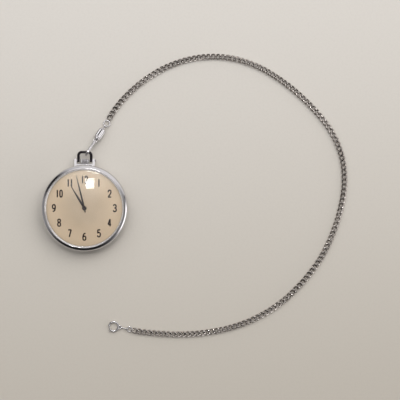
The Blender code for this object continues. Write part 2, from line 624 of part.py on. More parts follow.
def build_plates():
    """Make the mainplate, the bridges, their screws and the movement ring."""
    mainplate = turned("mainplate", ((0, PLATE_Z[1]), (MOVEMENT_RADIUS, PLATE_Z[1]),
                                     (MOVEMENT_RADIUS, PLATE_Z[0]), (0, PLATE_Z[0])), CASE_SIDES,
                       NICKEL)
    keyless_low = CROWN_WHEEL_CENTRE.y + CROWN_PITCH - 1.2 * MM
    slot_half = WINDING_PITCH + 0.6 * MM
    recess = box("keyless_recess", (-slot_half, keyless_low, BRIDGE_Z[0] - MM),
                 (slot_half, keyless_low + 2.4 * MM, PLATE_Z[1] + MM), cutter=True)
    channel = box("stem_channel", (-0.9 * MM, 7.0 * MM, BRIDGE_Z[0] - MM),
                  (0.9 * MM, MOVEMENT_RADIUS + MM, PLATE_Z[0] + 0.9 * MM), cutter=True)
    arc_at = BRIDGE_RADIUS
    outlines = {
        "barrel_bridge": arc(arc_at, math.radians(36), math.radians(199), 18) + [
            (-6.0 * MM, -4.3 * MM), (1.6 * MM, -1.9 * MM), (2.0 * MM, 1.6 * MM),
            (3.6 * MM, 6.3 * MM)],
        "train_bridge": arc(arc_at, math.radians(-65), math.radians(31), 12) + [
            (4.2 * MM, 5.2 * MM), (2.9 * MM, 0.8 * MM), (3.2 * MM, -4.4 * MM),
            (1.9 * MM, -7.0 * MM), (2.1 * MM, -9.6 * MM)],
        "balance_cock": arc(arc_at, math.radians(204), math.radians(238), 6) + [
            (-1.2 * MM, -10.9 * MM), (-0.6 * MM, -8.5 * MM), (-2.5 * MM, -7.3 * MM),
            (-8.0 * MM, -6.9 * MM)],
    }
    for name, outline in outlines.items():
        bridge = plate(name, [outline], BRIDGE_Z, NICKEL)
        drill_pivots(bridge, name)
        for index, place in enumerate(SCREW_PLACES[name]):
            tag = f"{name}_{index + 1}"
            pillar = rod(tag + "_pillar", PILLAR_RADIUS, BRIDGE_Z[1] + FINE_GAP / 2,
                         PLATE_Z[0] + 0.2 * MM, NICKEL, (*place, 0), cutter=True)
            join(mainplate, pillar)
            hole = rod(tag + "_hole", SCREW_RADIUS + FINE_GAP, BRIDGE_Z[0] - MM,
                       PLATE_Z[0] - 0.2 * MM, NICKEL, (*place, 0), cutter=True)
            cut(mainplate, hole)
            cut(bridge, hole)
            build_screw(tag + "_screw", place, BRIDGE_Z[0], PLATE_Z[0] - 0.5 * MM)
        if name == "barrel_bridge":
            cut(bridge, recess)
            cut(bridge, channel)
            cut(bridge, rod("crown_wheel_hole", SCREW_RADIUS + FINE_GAP, BRIDGE_Z[0] - MM,
                            BRIDGE_Z[1] + MM, NICKEL, (*CROWN_WHEEL_CENTRE, 0), cutter=True))
    drill_pivots(mainplate, "mainplate")
    cut(mainplate, recess)
    cut(mainplate, channel)
    cut(mainplate, rod("minute_post_hole", PIVOT_RADIUS + FINE_GAP, PLATE_Z[0] - MM,
                       PLATE_Z[1] + MM, NICKEL, (*MINUTE_WHEEL_CENTRE, 0), cutter=True))
    outer, inner = CASE_INNER_RADIUS - SEAT_GAP, MOVEMENT_RADIUS + FINE_GAP
    ring = turned("movement_ring", ((outer, MIDDLE_TOP - 0.1 * MM), (outer, PLATE_Z[0]),
                                    (inner, PLATE_Z[0]), (inner, MIDDLE_TOP - 0.1 * MM)),
                  CASE_SIDES, STEEL)
    cut(ring, channel_through("ring_channel", outer))


def channel_through(name, outer):
    """Return the block that opens a ring where the stem passes."""
    return box(name, (-0.9 * MM, MOVEMENT_RADIUS - MM, PLATE_Z[0] - MM),
               (0.9 * MM, outer + MM, PLATE_Z[0] + 0.9 * MM), cutter=True)


def drill_pivots(item, name):
    """Drill the pivot holes of the train through a plate or bridge."""
    for index, centre in enumerate(PIVOTS):
        if name != "mainplate" and not inside(item, centre):
            continue
        radius = PIVOT_RADIUS + JEWEL_GAP
        if centre == CENTRE or (centre == BARREL_CENTRE and name != "mainplate"):
            radius = SCREW_RADIUS + JEWEL_GAP
        cut(item, rod(f"{name}_pivot_{index + 1}", radius, BRIDGE_Z[0] - MM,
                      PLATE_Z[1] + MM, NICKEL, (*centre, 0), cutter=True))


def inside(item, centre):
    """Say whether a plate has material over a flat place."""
    level = (BRIDGE_Z[0] + BRIDGE_Z[1]) / 2
    origin = item.matrix_world.inverted() @ Vector((*centre, level + MM))
    hit, _, _, _ = item.ray_cast(origin, Vector((0, 0, -1)))
    return hit


def build_power():
    """Make the barrel, its arbor, its cover and the mainspring."""
    low, high = BARREL_Z
    wall = 0.25 * MM
    phase = meshed_phase(CENTRE_PHASES["pinion"], CENTRE_LEAVES, BARREL_TEETH, BARREL_ANGLE)
    drum_radius = BARREL_PITCH - 3.5 * 2 * BARREL_PITCH / BARREL_TEETH / 2
    drum = gear("barrel", BARREL_TEETH, BARREL_PITCH, phase, (low, high), BRASS, BARREL_CENTRE)
    cut(drum, rod("barrel_hollow", drum_radius, low + wall, high + MM, BRASS,
                  (*BARREL_CENTRE, 0), sides=32, cutter=True))
    arbor_bore = 0.6 * MM
    cut(drum, rod("barrel_bore", arbor_bore + FINE_GAP, low - MM, high, BRASS,
                  (*BARREL_CENTRE, 0), cutter=True))
    outline = [circle(drum_radius - FINE_GAP, 32), circle(arbor_bore + FINE_GAP, 16)]
    plate("barrel_cover", outline, (high - wall, high), BRASS, (*BARREL_CENTRE, 0))
    shaft = rod("barrel_arbor", arbor_bore, low - 0.1 * MM, high + 0.05 * MM, STEEL,
                (*BARREL_CENTRE, 0))
    arbor(shaft, "barrel_lower", BARREL_CENTRE, KEYLESS_Z[0] - 0.2 * MM, low, SCREW_RADIUS)
    arbor(shaft, "barrel_upper", BARREL_CENTRE, high, PLATE_Z[0] + 0.8 * MM)
    turns = 5
    start, end = arbor_bore + 0.35 * MM, drum_radius - 0.35 * MM
    coil = []
    per_turn = 12
    steps = per_turn * turns
    for i in range(steps + 1):
        radius = start + (end - start) * i / steps
        angle = 2 * math.pi * i / per_turn
        coil.append((radius * math.cos(angle), radius * math.sin(angle), (low + high) / 2))
    wire("mainspring", coil, 0.12 * MM, STEEL, (*BARREL_CENTRE, 0), fineness=0)


CENTRE_PHASES = {"wheel": 0.0, "pinion": 0.0, "cannon": 0.0}


def build_train():
    """Make the centre, third, fourth and escape wheels."""
    third_pinion = meshed_phase(CENTRE_PHASES["wheel"], CENTRE_TEETH, THIRD_LEAVES, THIRD_ANGLE)
    fourth_pinion = meshed_phase(0.0, THIRD_TEETH, FOURTH_LEAVES, FOURTH_ANGLE)
    escape_pinion = meshed_phase(0.0, FOURTH_TEETH, ESCAPE_LEAVES, ESCAPE_ANGLE)
    centre = gear("centre_wheel", CENTRE_TEETH, CENTRE_PITCH, CENTRE_PHASES["wheel"],
                  CENTRE_WHEEL_Z, BRASS, CENTRE, 1.6 * MM, 4)
    arbor(centre, "centre", CENTRE, BRIDGE_Z[0] + 0.1 * MM, MINUTE_HAND_Z - 0.3 * MM)
    centre_pinion_pitch = BARREL_PITCH * CENTRE_LEAVES / BARREL_TEETH
    pinion(centre, "centre", CENTRE_LEAVES, centre_pinion_pitch, CENTRE_PHASES["pinion"],
           (CENTRE_WHEEL_Z[0] + 0.1 * MM, BARREL_Z[1]), CENTRE)
    third = gear("third_wheel", THIRD_TEETH, THIRD_PITCH, 0.0, THIRD_WHEEL_Z, BRASS,
                 THIRD_CENTRE, 1.3 * MM, 4)
    arbor(third, "third", THIRD_CENTRE, BRIDGE_Z[0] + 0.1 * MM, PLATE_Z[0] + 0.8 * MM)
    pinion(third, "third", THIRD_LEAVES, CENTRE_PITCH * THIRD_LEAVES / CENTRE_TEETH,
           third_pinion, (CENTRE_WHEEL_Z[0], CENTRE_WHEEL_Z[1] + 0.1 * MM), THIRD_CENTRE)
    fourth = gear("fourth_wheel", FOURTH_TEETH, FOURTH_PITCH, 0.0, FOURTH_WHEEL_Z, BRASS,
                  FOURTH_CENTRE, 1.3 * MM, 4)
    arbor(fourth, "fourth", FOURTH_CENTRE, BRIDGE_Z[0] + 0.1 * MM, PLATE_Z[0] + 0.8 * MM)
    pinion(fourth, "fourth", FOURTH_LEAVES, THIRD_PITCH * FOURTH_LEAVES / THIRD_TEETH,
           fourth_pinion, (THIRD_WHEEL_Z[0] - 0.05 * MM, THIRD_WHEEL_Z[1] + 0.1 * MM),
           FOURTH_CENTRE)
    build_escape(escape_pinion)


def build_escape(escape_pinion):
    """Make the escape wheel, the pallet fork, the balance and its hairspring."""
    outline = []
    step = 2 * math.pi / ESCAPE_TEETH
    for tooth in range(ESCAPE_TEETH):
        for share, radius in ((0.0, ESCAPE_RADIUS), (0.12, ESCAPE_RADIUS),
                              (0.35, ESCAPE_RADIUS - 0.6 * MM), (0.8, ESCAPE_RADIUS - 0.6 * MM)):
            angle = (tooth + share) * step
            outline.append((radius * math.cos(angle), radius * math.sin(angle)))
    escape = plate("escape_wheel", [outline], ESCAPE_WHEEL_Z, STEEL, (*ESCAPE_CENTRE, 0))
    arbor(escape, "escape", ESCAPE_CENTRE, BRIDGE_Z[0] + 0.1 * MM, PLATE_Z[0] + 0.8 * MM)
    pinion(escape, "escape", ESCAPE_LEAVES, FOURTH_PITCH * ESCAPE_LEAVES / FOURTH_TEETH,
           escape_pinion, (FOURTH_WHEEL_Z[0] - 0.05 * MM, FOURTH_WHEEL_Z[1] + 0.05 * MM),
           ESCAPE_CENTRE)
    lever = (BALANCE_CENTRE - PALLET_CENTRE).normalized()
    side = Vector((-lever.y, lever.x))
    reach = (BALANCE_CENTRE - PALLET_CENTRE).length - 0.85 * MM
    fork_points = [lever * -0.9 * MM + side * 1.7 * MM, lever * -0.9 * MM - side * 1.7 * MM,
                   lever * -0.3 * MM - side * 1.6 * MM, lever * 0.4 * MM - side * 0.35 * MM,
                   lever * reach - side * 0.25 * MM, lever * reach + side * 0.25 * MM,
                   lever * 0.4 * MM + side * 0.35 * MM, lever * -0.3 * MM + side * 1.6 * MM]
    fork = plate("pallet_fork", [[tuple(p) for p in fork_points][::-1]], FORK_Z, STEEL,
                 (*PALLET_CENTRE, 0))
    arbor(fork, "pallet", PALLET_CENTRE, BRIDGE_Z[0] + 0.1 * MM, PLATE_Z[0] + 0.8 * MM,
          PIVOT_RADIUS - 0.05 * MM)
    build_balance()


def build_balance():
    """Make the balance with its staff and roller, and the hairspring."""
    rim = BALANCE_RADIUS
    openings = spoke_openings(0.9 * MM, rim - 0.8 * MM, 3, 0.4 * MM)
    balance = plate("balance", [circle(rim, 32)] + openings, BALANCE_Z, BRASS,
                    (*BALANCE_CENTRE, 0))
    arbor(balance, "balance", BALANCE_CENTRE, BRIDGE_Z[0] + 0.1 * MM, PLATE_Z[0] + 0.8 * MM,
          PIVOT_RADIUS - 0.05 * MM)
    join(balance, rod("roller", 0.55 * MM, BALANCE_Z[0], FORK_Z[1], STEEL,
                      (*BALANCE_CENTRE, 0), cutter=True))
    turns, per_turn = 4, 14
    steps = turns * per_turn
    spiral = []
    for i in range(steps + 1):
        radius = (0.5 + 2.3 * i / steps) * MM
        angle = 2 * math.pi * i / per_turn
        spiral.append((radius * math.cos(angle), radius * math.sin(angle), HAIRSPRING_Z))
    wire("hairspring", spiral, 0.06 * MM, BLUED, (*BALANCE_CENTRE, 0), fineness=0)


def build_motion_work():
    """Make the cannon pinion, the minute wheel and the hour wheel under the dial."""
    cannon_pitch = MOTION_DISTANCE * CANNON_LEAVES / (CANNON_LEAVES + MINUTE_TEETH)
    minute_pitch = MOTION_DISTANCE - cannon_pitch
    small_pitch = MOTION_DISTANCE * MINUTE_LEAVES / (MINUTE_LEAVES + HOUR_TEETH)
    hour_pitch = MOTION_DISTANCE - small_pitch
    wall = PIVOT_RADIUS + 0.2 * MM
    arbor_bore = PIVOT_RADIUS + 0.02 * MM
    cannon = gear("cannon_pinion", CANNON_LEAVES, cannon_pitch, CENTRE_PHASES["cannon"],
                  MOTION_Z, STEEL, CENTRE)
    join(cannon, rod("cannon_pipe", wall, MOTION_Z[0], MINUTE_HAND_Z - FINE_GAP, STEEL,
                     cutter=True))
    cut(cannon, rod("cannon_bore", arbor_bore + 0.03 * MM, PLATE_Z[0], MINUTE_HAND_Z + MM,
                    STEEL, cutter=True))
    minute_phase = meshed_phase(CENTRE_PHASES["cannon"], CANNON_LEAVES, MINUTE_TEETH,
                                MINUTE_WHEEL_ANGLE)
    minute = gear("minute_wheel", MINUTE_TEETH, minute_pitch, minute_phase, MOTION_Z, BRASS,
                  MINUTE_WHEEL_CENTRE)
    arbor(minute, "minute", MINUTE_WHEEL_CENTRE, PLATE_Z[0] + 0.3 * MM, HOUR_WHEEL_Z[1])
    pinion(minute, "minute", MINUTE_LEAVES, small_pitch, 0.0,
           (MOTION_Z[1] - 0.05 * MM, HOUR_WHEEL_Z[1]), MINUTE_WHEEL_CENTRE)
    hour_phase = meshed_phase(0.0, MINUTE_LEAVES, HOUR_TEETH, MINUTE_WHEEL_ANGLE + math.pi)
    hour = gear("hour_wheel", HOUR_TEETH, hour_pitch, hour_phase, HOUR_WHEEL_Z, BRASS, CENTRE)
    join(hour, rod("hour_pipe", wall + 0.35 * MM, HOUR_WHEEL_Z[0], HOUR_HAND_Z - FINE_GAP,
                   BRASS, cutter=True))
    cut(hour, rod("hour_bore", wall + 0.1 * MM, MOTION_Z[0], HOUR_HAND_Z + MM, BRASS,
                  cutter=True))


def hand(name, length, width, tail, level, angle, boss, bore):
    """Make a tapered hand that points at an angle from 12 o'clock."""
    half = width / 2
    outline = [(-half, -tail), (half, -tail), (half * 1.1, 0), (half * 0.9, length * 0.55),
               (0.12 * MM, length), (-0.12 * MM, length), (-half * 0.9, length * 0.55),
               (-half * 1.1, 0)]
    item = plate(name, [outline], (level, level + HAND_THICKNESS), DARK)
    join(item, rod(name + "_boss", boss, level - 0.02 * MM, level + HAND_THICKNESS + 0.02 * MM,
                   DARK, sides=16, cutter=True))
    cut(item, rod(name + "_bore", bore, level - MM, level + MM, DARK, cutter=True))
    item.rotation_euler = (0, 0, -angle)
    return item


def build_dial_and_hands():
    """Make the dial and the two hands."""
    low = MIDDLE_TOP + SEAT_GAP
    hour_pipe = PIVOT_RADIUS + 0.2 * MM + 0.35 * MM
    plate("dial", [circle(DIAL_RADIUS, CASE_SIDES), circle(hour_pipe + 0.2 * MM, 12)],
          (low, low + DIAL_THICKNESS), CREAM)
    minute_angle = math.radians(6 * SHOWN_MINUTES)
    hour_angle = math.radians(30 * (SHOWN_HOUR + SHOWN_MINUTES / 60))
    hand("hour_hand", HOUR_HAND_LENGTH, HOUR_HAND_WIDTH, 0.0, HOUR_HAND_Z, hour_angle,
         1.15 * MM, PIVOT_RADIUS + 0.2 * MM + 0.12 * MM)
    hand("minute_hand", MINUTE_HAND_LENGTH, MINUTE_HAND_WIDTH, MINUTE_HAND_TAIL, MINUTE_HAND_Z,
         minute_angle, 0.9 * MM, PIVOT_RADIUS + FINE_GAP)


def place_along_clasp(item):
    """Stand an object made along the clasp's own axis in its place."""
    item.matrix_world = frame_along(CLASP_HEADING, CLASP_DROP, HOOK_AT) @ item.matrix_world


def rod_x(name, radius, start, end, material, cutter=False, sides=12):
    """Make a rod along X in the clasp's own frame."""
    item = rod(name, radius, start, end, material, cutter=cutter, sides=sides)
    item.matrix_world = Matrix.Rotation(math.pi / 2, 4, "Y")
    return item


def build_clasp():
    """Make the hook, its gate and pin, the swivel and the jump ring."""
    high = HOOK_HALF_HEIGHT
    bend = arc(high, math.radians(90), math.radians(245), 7)
    path = [(HOOK_LENGTH + 0.6 * MM, 0.3 * MM), (HOOK_LENGTH - 0.8 * MM, high * 0.75),
            (HOOK_LENGTH * 0.5, high * 1.0)] + bend
    nose = (0.75 * MM, -high - 0.05 * MM)
    path.append(nose)
    hook = wire("clasp_hook", [(x, 0, z) for x, z in path], HOOK_WIRE, CHROME)
    place_along_clasp(hook)
    base = rod_x("clasp_base", 1.15 * MM, HOOK_LENGTH - 0.7 * MM, COLLAR_AT - 0.2 * MM, CHROME,
                 cutter=True)
    rivet = rod_x("clasp_rivet", 0.42 * MM, COLLAR_AT - 0.6 * MM, COLLAR_AT + 2.0 * MM, CHROME,
                  cutter=True)
    pivot = (HOOK_LENGTH - 0.35 * MM, 0, -0.55 * MM)
    slot = box("clasp_slot", (HOOK_LENGTH - 2.0 * MM, -0.55 * MM, -2.0 * MM),
               (HOOK_LENGTH + 0.25 * MM, 0.55 * MM, 0.1 * MM), cutter=True)
    pin_bore = rod("clasp_pin_bore", 0.2 * MM + 0.05 * MM, -2 * MM, 2 * MM, CHROME,
                   cutter=True, sides=12)
    pin_bore.matrix_world = Matrix.Translation(pivot) @ Matrix.Rotation(math.pi / 2, 4, "X")
    for tool, work in ((base, join), (rivet, join), (slot, cut), (pin_bore, cut)):
        place_along_clasp(tool)
        work(hook, tool)
    tip = (1.95 * MM, 0, -high + 0.05 * MM)
    middle = (HOOK_LENGTH * 0.62, 0, -high * 0.86)
    start = Vector(pivot).lerp(Vector(middle), 0.15)
    gate = wire("clasp_gate", [start, middle, tip], GATE_WIRE, CHROME)
    place_along_clasp(gate)
    thumb = rod("clasp_thumb", 0.45 * MM, -high - 0.75 * MM, -high, CHROME, cutter=True)
    thumb.matrix_world = Matrix.Translation((HOOK_LENGTH * 0.62, 0, 0)) @ thumb.matrix_world
    gate_bore = rod("gate_bore", 0.25 * MM, -2 * MM, 2 * MM, CHROME, cutter=True, sides=12)
    gate_bore.matrix_world = pin_bore_local(pivot)
    gate_eye = rod("gate_eye", 0.6 * MM, -0.47 * MM, 0.47 * MM, CHROME, cutter=True)
    gate_eye.matrix_world = pin_bore_local(pivot)
    for tool, work in ((thumb, join), (gate_eye, join), (gate_bore, cut)):
        place_along_clasp(tool)
        work(gate, tool)
    pin = rod("clasp_gate_pin", 0.2 * MM, -1.0 * MM, 1.0 * MM, STEEL, sides=12)
    pin.matrix_world = pin_bore_local(pivot)
    place_along_clasp(pin)
    build_swivel()


def pin_bore_local(pivot):
    """Return the placement of a rod across the clasp at the gate's pivot."""
    return Matrix.Translation(pivot) @ Matrix.Rotation(math.pi / 2, 4, "X")


def build_swivel():
    """Make the turning barrel with its eye, and the jump ring in the eye."""
    end = COLLAR_AT + SWIVEL_LENGTH
    bore = 0.42 * MM + FINE_GAP
    profile = ((0, end), (SWIVEL_RADIUS * 0.6, end), (SWIVEL_RADIUS, end - 0.6 * MM),
               (SWIVEL_RADIUS, COLLAR_AT + 0.9 * MM), (COLLAR_RADIUS * 0.7, COLLAR_AT + 0.6 * MM),
               (COLLAR_RADIUS, COLLAR_AT + 0.45 * MM), (COLLAR_RADIUS, COLLAR_AT),
               (bore, COLLAR_AT), (bore, COLLAR_AT + 2.3 * MM), (0, COLLAR_AT + 2.3 * MM))
    barrel = turned("swivel_barrel", profile, 24, CHROME)
    barrel.matrix_world = Matrix.Rotation(math.pi / 2, 4, "Y")
    place_along_clasp(barrel)
    eye_at = end + 0.25 * MM + EYE_RADIUS + EYE_WIRE
    ring = [(eye_at + x, 0, z) for x, z in circle(EYE_RADIUS, 12)]
    eye = wire("swivel_eye", ring, EYE_WIRE, CHROME, closed=True, cutter=True)
    neck = rod_x("swivel_neck", 0.45 * MM, end - 0.4 * MM, end + 0.6 * MM, CHROME, cutter=True)
    for tool in (eye, neck):
        place_along_clasp(tool)
        join(barrel, tool)
    ring_at = eye_at + 0.15 * MM + JUMP_RING_RADIUS
    loop = [(ring_at + x, y, 0) for x, y in circle(JUMP_RING_RADIUS, 16)]
    jump = wire("jump_ring", loop, JUMP_RING_WIRE, CHROME, closed=True)
    place_along_clasp(jump)


def smooth_route(stations, count):
    """Return evenly spaced points on a smooth curve through the stations."""
    points = [Vector(p) * MM for p in stations]
    padded = [2 * points[0] - points[1]] + points + [2 * points[-1] - points[-2]]
    fine = []
    for i in range(1, len(padded) - 2):
        before, start, end, after = padded[i - 1:i + 3]
        for step in range(12):
            t = step / 12
            fine.append(0.5 * (2 * start + (end - before) * t
                               + (2 * before - 5 * start + 4 * end - after) * t ** 2
                               + (3 * start - before - 3 * end + after) * t ** 3))
    fine.append(points[-1])
    lengths = [0.0]
    for first, second in zip(fine, fine[1:]):
        lengths.append(lengths[-1] + (second - first).length)
    route = []
    at = 0
    for index in range(count):
        goal = lengths[-1] * index / (count - 1)
        while at < len(lengths) - 2 and lengths[at + 1] < goal:
            at += 1
        share = (goal - lengths[at]) / (lengths[at + 1] - lengths[at])
        route.append(fine[at].lerp(fine[at + 1], share))
    return route


def build_chain():
    """Make the chain's plain tube along its route on the table."""
    route = smooth_route(CHAIN_ROUTE, CHAIN_POINTS)
    wire("chain", [(p.x, p.y, CHAIN_RADIUS) for p in route], CHAIN_RADIUS, STEEL)


def turned_about_bolt(item):
    """Stand an object made in the bolt ring's own frame in its place."""
    item.matrix_world = (Matrix.Translation((*BOLT_CENTRE, END_Z))
                         @ Matrix.Rotation(BOLT_HEADING, 4, "Z") @ item.matrix_world)


def build_chain_end():
    """Make the bolt ring with its trigger, the end link and the end ring."""
    opening_start, opening_end = BOLT_GAP
    body = [(x, y, 0) for x, y in arc(BOLT_RADIUS, opening_end,
                                      opening_start + 2 * math.pi, 20)]
    bolt = wire("bolt_ring", body, BOLT_WIRE, CHROME)
    turned_about_bolt(bolt)
    eye_at = BOLT_RADIUS + 0.85 * MM
    eye = wire("bolt_eye", [(eye_at + x, y, 0) for x, y in circle(0.75 * MM, 12)], 0.3 * MM,
               CHROME, closed=True, cutter=True)
    depth = math.radians(75)
    bore = wire("bolt_bore", [(x, y, 0) for x, y in arc(
        BOLT_RADIUS, opening_end - 0.3, opening_end + depth, 7)], BOLT_BORE, CHROME,
        cutter=True)
    slot = wire("bolt_slot", [(x, y, 0) for x, y in arc(
        BOLT_RADIUS + 0.5 * MM, opening_end + math.radians(2),
        opening_end + math.radians(24) + BOLT_TRAVEL, 6)], 0.34 * MM, CHROME, cutter=True)
    for tool, work in ((eye, join), (bore, cut), (slot, cut)):
        turned_about_bolt(tool)
        work(bolt, tool)
    tongue = [(x, y, 0) for x, y in arc(BOLT_RADIUS, opening_start + math.radians(9),
                                        opening_end + math.radians(20), 8)]
    trigger = wire("bolt_trigger", tongue, TONGUE_WIRE, CHROME)
    turned_about_bolt(trigger)
    knob_at = opening_end + math.radians(13)
    stalk = [(r * math.cos(knob_at), r * math.sin(knob_at), 0)
             for r in (BOLT_RADIUS, BOLT_RADIUS + 1.1 * MM)]
    knob = wire("bolt_knob", stalk, 0.24 * MM, CHROME, cutter=True)
    turned_about_bolt(knob)
    join(trigger, knob)
    ring_at = Vector(CHAIN_ROUTE[-1]) * MM + Vector((-1, 0.35)).normalized() * (
        END_RING_RADIUS + END_RING_WIRE + SEAT_GAP)
    loop = [(x, y, 0) for x, y in circle(END_RING_RADIUS, 16)]
    wire("end_ring", loop, END_RING_WIRE, CHROME, (*ring_at, END_Z), closed=True)
    eye_world = BOLT_CENTRE + polar(eye_at, BOLT_HEADING)
    between = ring_at - eye_world
    inside_ring = END_RING_WIRE + LINK_WIRE + 0.15 * MM
    half = (between.length - END_RING_RADIUS + inside_ring) / 2
    middle = eye_world + between.normalized() * half
    straight = half - LINK_HALF_HEIGHT
    link = [(straight + x, 0, z) for x, z in arc(LINK_HALF_HEIGHT, math.pi / 2,
                                                 -math.pi / 2, 8)]
    link += [(-straight + x, 0, z) for x, z in arc(LINK_HALF_HEIGHT, -math.pi / 2,
                                                   -3 * math.pi / 2, 8)]
    oval = wire("end_link", link, LINK_WIRE, CHROME, closed=True)
    oval.matrix_world = Matrix.Translation((*middle, END_Z)) @ Matrix.Rotation(
        math.atan2(between.y, between.x), 4, "Z")


def build_watch():
    """Build every sub-part."""
    build_case()
    build_pendant()
    build_winding()
    build_plates()
    build_keyless()
    build_train()
    build_power()
    build_motion_work()
    build_dial_and_hands()
    build_clasp()
    build_chain()
    build_chain_end()


build_watch()
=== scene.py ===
"""The looks of an open-face pocket watch on its curb chain, laid out as a Blender add-on."""

import json
import math

import bmesh
import bpy
from bpy.props import FloatProperty, FloatVectorProperty, IntProperty, PointerProperty
from mathutils import Matrix, Vector


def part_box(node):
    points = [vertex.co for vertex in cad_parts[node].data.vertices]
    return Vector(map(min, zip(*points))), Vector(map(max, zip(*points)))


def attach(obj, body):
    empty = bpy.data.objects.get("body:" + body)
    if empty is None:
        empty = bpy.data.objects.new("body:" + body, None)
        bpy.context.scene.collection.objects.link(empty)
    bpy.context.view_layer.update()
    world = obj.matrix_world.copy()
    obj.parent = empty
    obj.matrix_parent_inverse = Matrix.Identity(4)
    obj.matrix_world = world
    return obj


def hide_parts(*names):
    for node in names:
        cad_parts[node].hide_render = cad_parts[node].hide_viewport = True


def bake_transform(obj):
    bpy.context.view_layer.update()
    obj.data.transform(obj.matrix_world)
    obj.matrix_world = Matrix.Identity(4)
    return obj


bl_info = {
    "name": "Pocket Watch",
    "version": (1, 0, 0),
    "blender": (4, 5, 0),
    "location": "View3D > Sidebar > Pocket Watch",
    "description": "Models and finishes a pocket watch with its chain, clasp and bolt ring",
    "category": "Object",
}

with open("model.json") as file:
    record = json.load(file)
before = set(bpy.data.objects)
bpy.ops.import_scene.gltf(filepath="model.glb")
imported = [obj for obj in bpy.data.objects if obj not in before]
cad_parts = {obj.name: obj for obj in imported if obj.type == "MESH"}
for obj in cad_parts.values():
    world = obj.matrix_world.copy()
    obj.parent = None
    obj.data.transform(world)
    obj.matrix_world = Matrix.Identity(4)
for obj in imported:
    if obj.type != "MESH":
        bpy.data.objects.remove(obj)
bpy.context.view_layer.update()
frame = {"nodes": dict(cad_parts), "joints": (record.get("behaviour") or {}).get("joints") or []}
MM = 0.001
TURN = 2 * math.pi
QUARTER = TURN / 4
ONTO_X = Matrix.Rotation(QUARTER, 4, "Y")
ONTO_Y = Matrix.Rotation(QUARTER, 4, "X")

# Where the chain lies, in millimetres from the jump ring to the end ring.
CHAIN_ROUTE = (
    (12.1, 46.05), (15.3, 51.2), (20.3, 57.3), (26.9, 63.6), (34.7, 69.2), (43.2, 73.8),
    (52.3, 77.0), (62.0, 78.6), (72.2, 78.5), (82.0, 76.5), (91.4, 72.8), (99.9, 67.8),
    (107.9, 61.8), (115.3, 55.1), (122.2, 47.7), (128.2, 39.4), (132.4, 30.2),
    (134.5, 20.2), (134.5, 10.0), (132.8, 0.0), (130.0, -9.6), (126.3, -18.7),
    (121.7, -27.1), (116.1, -34.8), (109.7, -41.9), (102.7, -48.3), (94.9, -53.8),
    (86.2, -58.3), (76.9, -61.7), (67.2, -64.0), (57.1, -65.3), (46.7, -65.6),
    (35.9, -65.0), (30.3, -64.4), (24.6, -63.6),
)
ROUTE_STEPS = 12
# How high a link's middle lies, as a share of the height its twist lifts its edge to.
LINK_LIFT = 0.62


# ------------------------------------------------------------------ sizes from the frame


def middle(node):
    """Return the middle of a CAD node's box."""
    low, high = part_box(node)
    return (Vector(low) + Vector(high)) / 2


def low_z(node):
    """Return a node's lowest height."""
    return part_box(node)[0][2]


def high_z(node):
    """Return a node's highest height."""
    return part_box(node)[1][2]


def radius_of(node):
    """Return half of a node's width, which is a round node's radius."""
    low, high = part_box(node)
    return (high[0] - low[0]) / 2


def joint(name):
    """Return a joint of the record."""
    return next(j for j in frame["joints"] if j["name"] == name)


def joint_place(name):
    """Return the point a joint turns about."""
    return Vector(joint(name)["pos_m"])


# ------------------------------------------------------------------------- settings


def length_setting(name, description, default, low=None):
    """Return a length setting, given in millimetres, with its lowest value if it has one."""
    limits = {} if low is None else {"min": low * MM}
    return FloatProperty(name=name, description=description, default=default * MM,
                         unit="LENGTH", **limits)


def colour_setting(name, description, *rgb):
    """Return a colour setting."""
    return FloatVectorProperty(name=name, description=description, default=(*rgb, 1),
                               subtype="COLOR", size=4, min=0, max=1)


def power_setting(name, description, default):
    """Return a lamp's power setting."""
    return FloatProperty(name=name, description=description, default=default, min=0.0)


class WatchSizes(bpy.types.PropertyGroup):
    """Sizes of the printed dial, the hands and the knurling."""

    numeral_height: length_setting(
        "Numeral Height", "Height of the dial's numbers", 4.3, 1.0)
    numeral_width: length_setting("Numeral Width", "Width of one digit", 2.15, 0.5)
    numeral_stroke: length_setting("Numeral Stroke", "Width of a digit's line", 0.72, 0.1)
    numeral_ring: length_setting(
        "Numeral Ring", "Radius of the circle the numbers stand on", 15.1, 5.0)
    hand_width: length_setting(
        "Hand Width", "Width of the hour hand where it is widest", 1.05, 0.2)
    crown_ribs: IntProperty(
        name="Crown Ribs", description="Ribs round the crown", default=30, min=8)
    barrel_ribs: IntProperty(
        name="Barrel Ribs", description="Flutes round the clasp's turning barrel",
        default=16, min=6)


class ChainSizes(bpy.types.PropertyGroup):
    """Sizes of the curb chain's links."""

    wire: length_setting("Link Wire", "Radius of the links' wire", 0.42, 0.1)
    link_width: length_setting("Link Width", "Outer width of a link", 3.15, 1.0)
    pitch: length_setting("Link Pitch", "Distance from one link to the next", 2.5, 1.0)
    twist: FloatProperty(
        name="Link Twist", description="Turn of a link's two ends against each other",
        default=math.radians(50), subtype="ANGLE", unit="ROTATION")


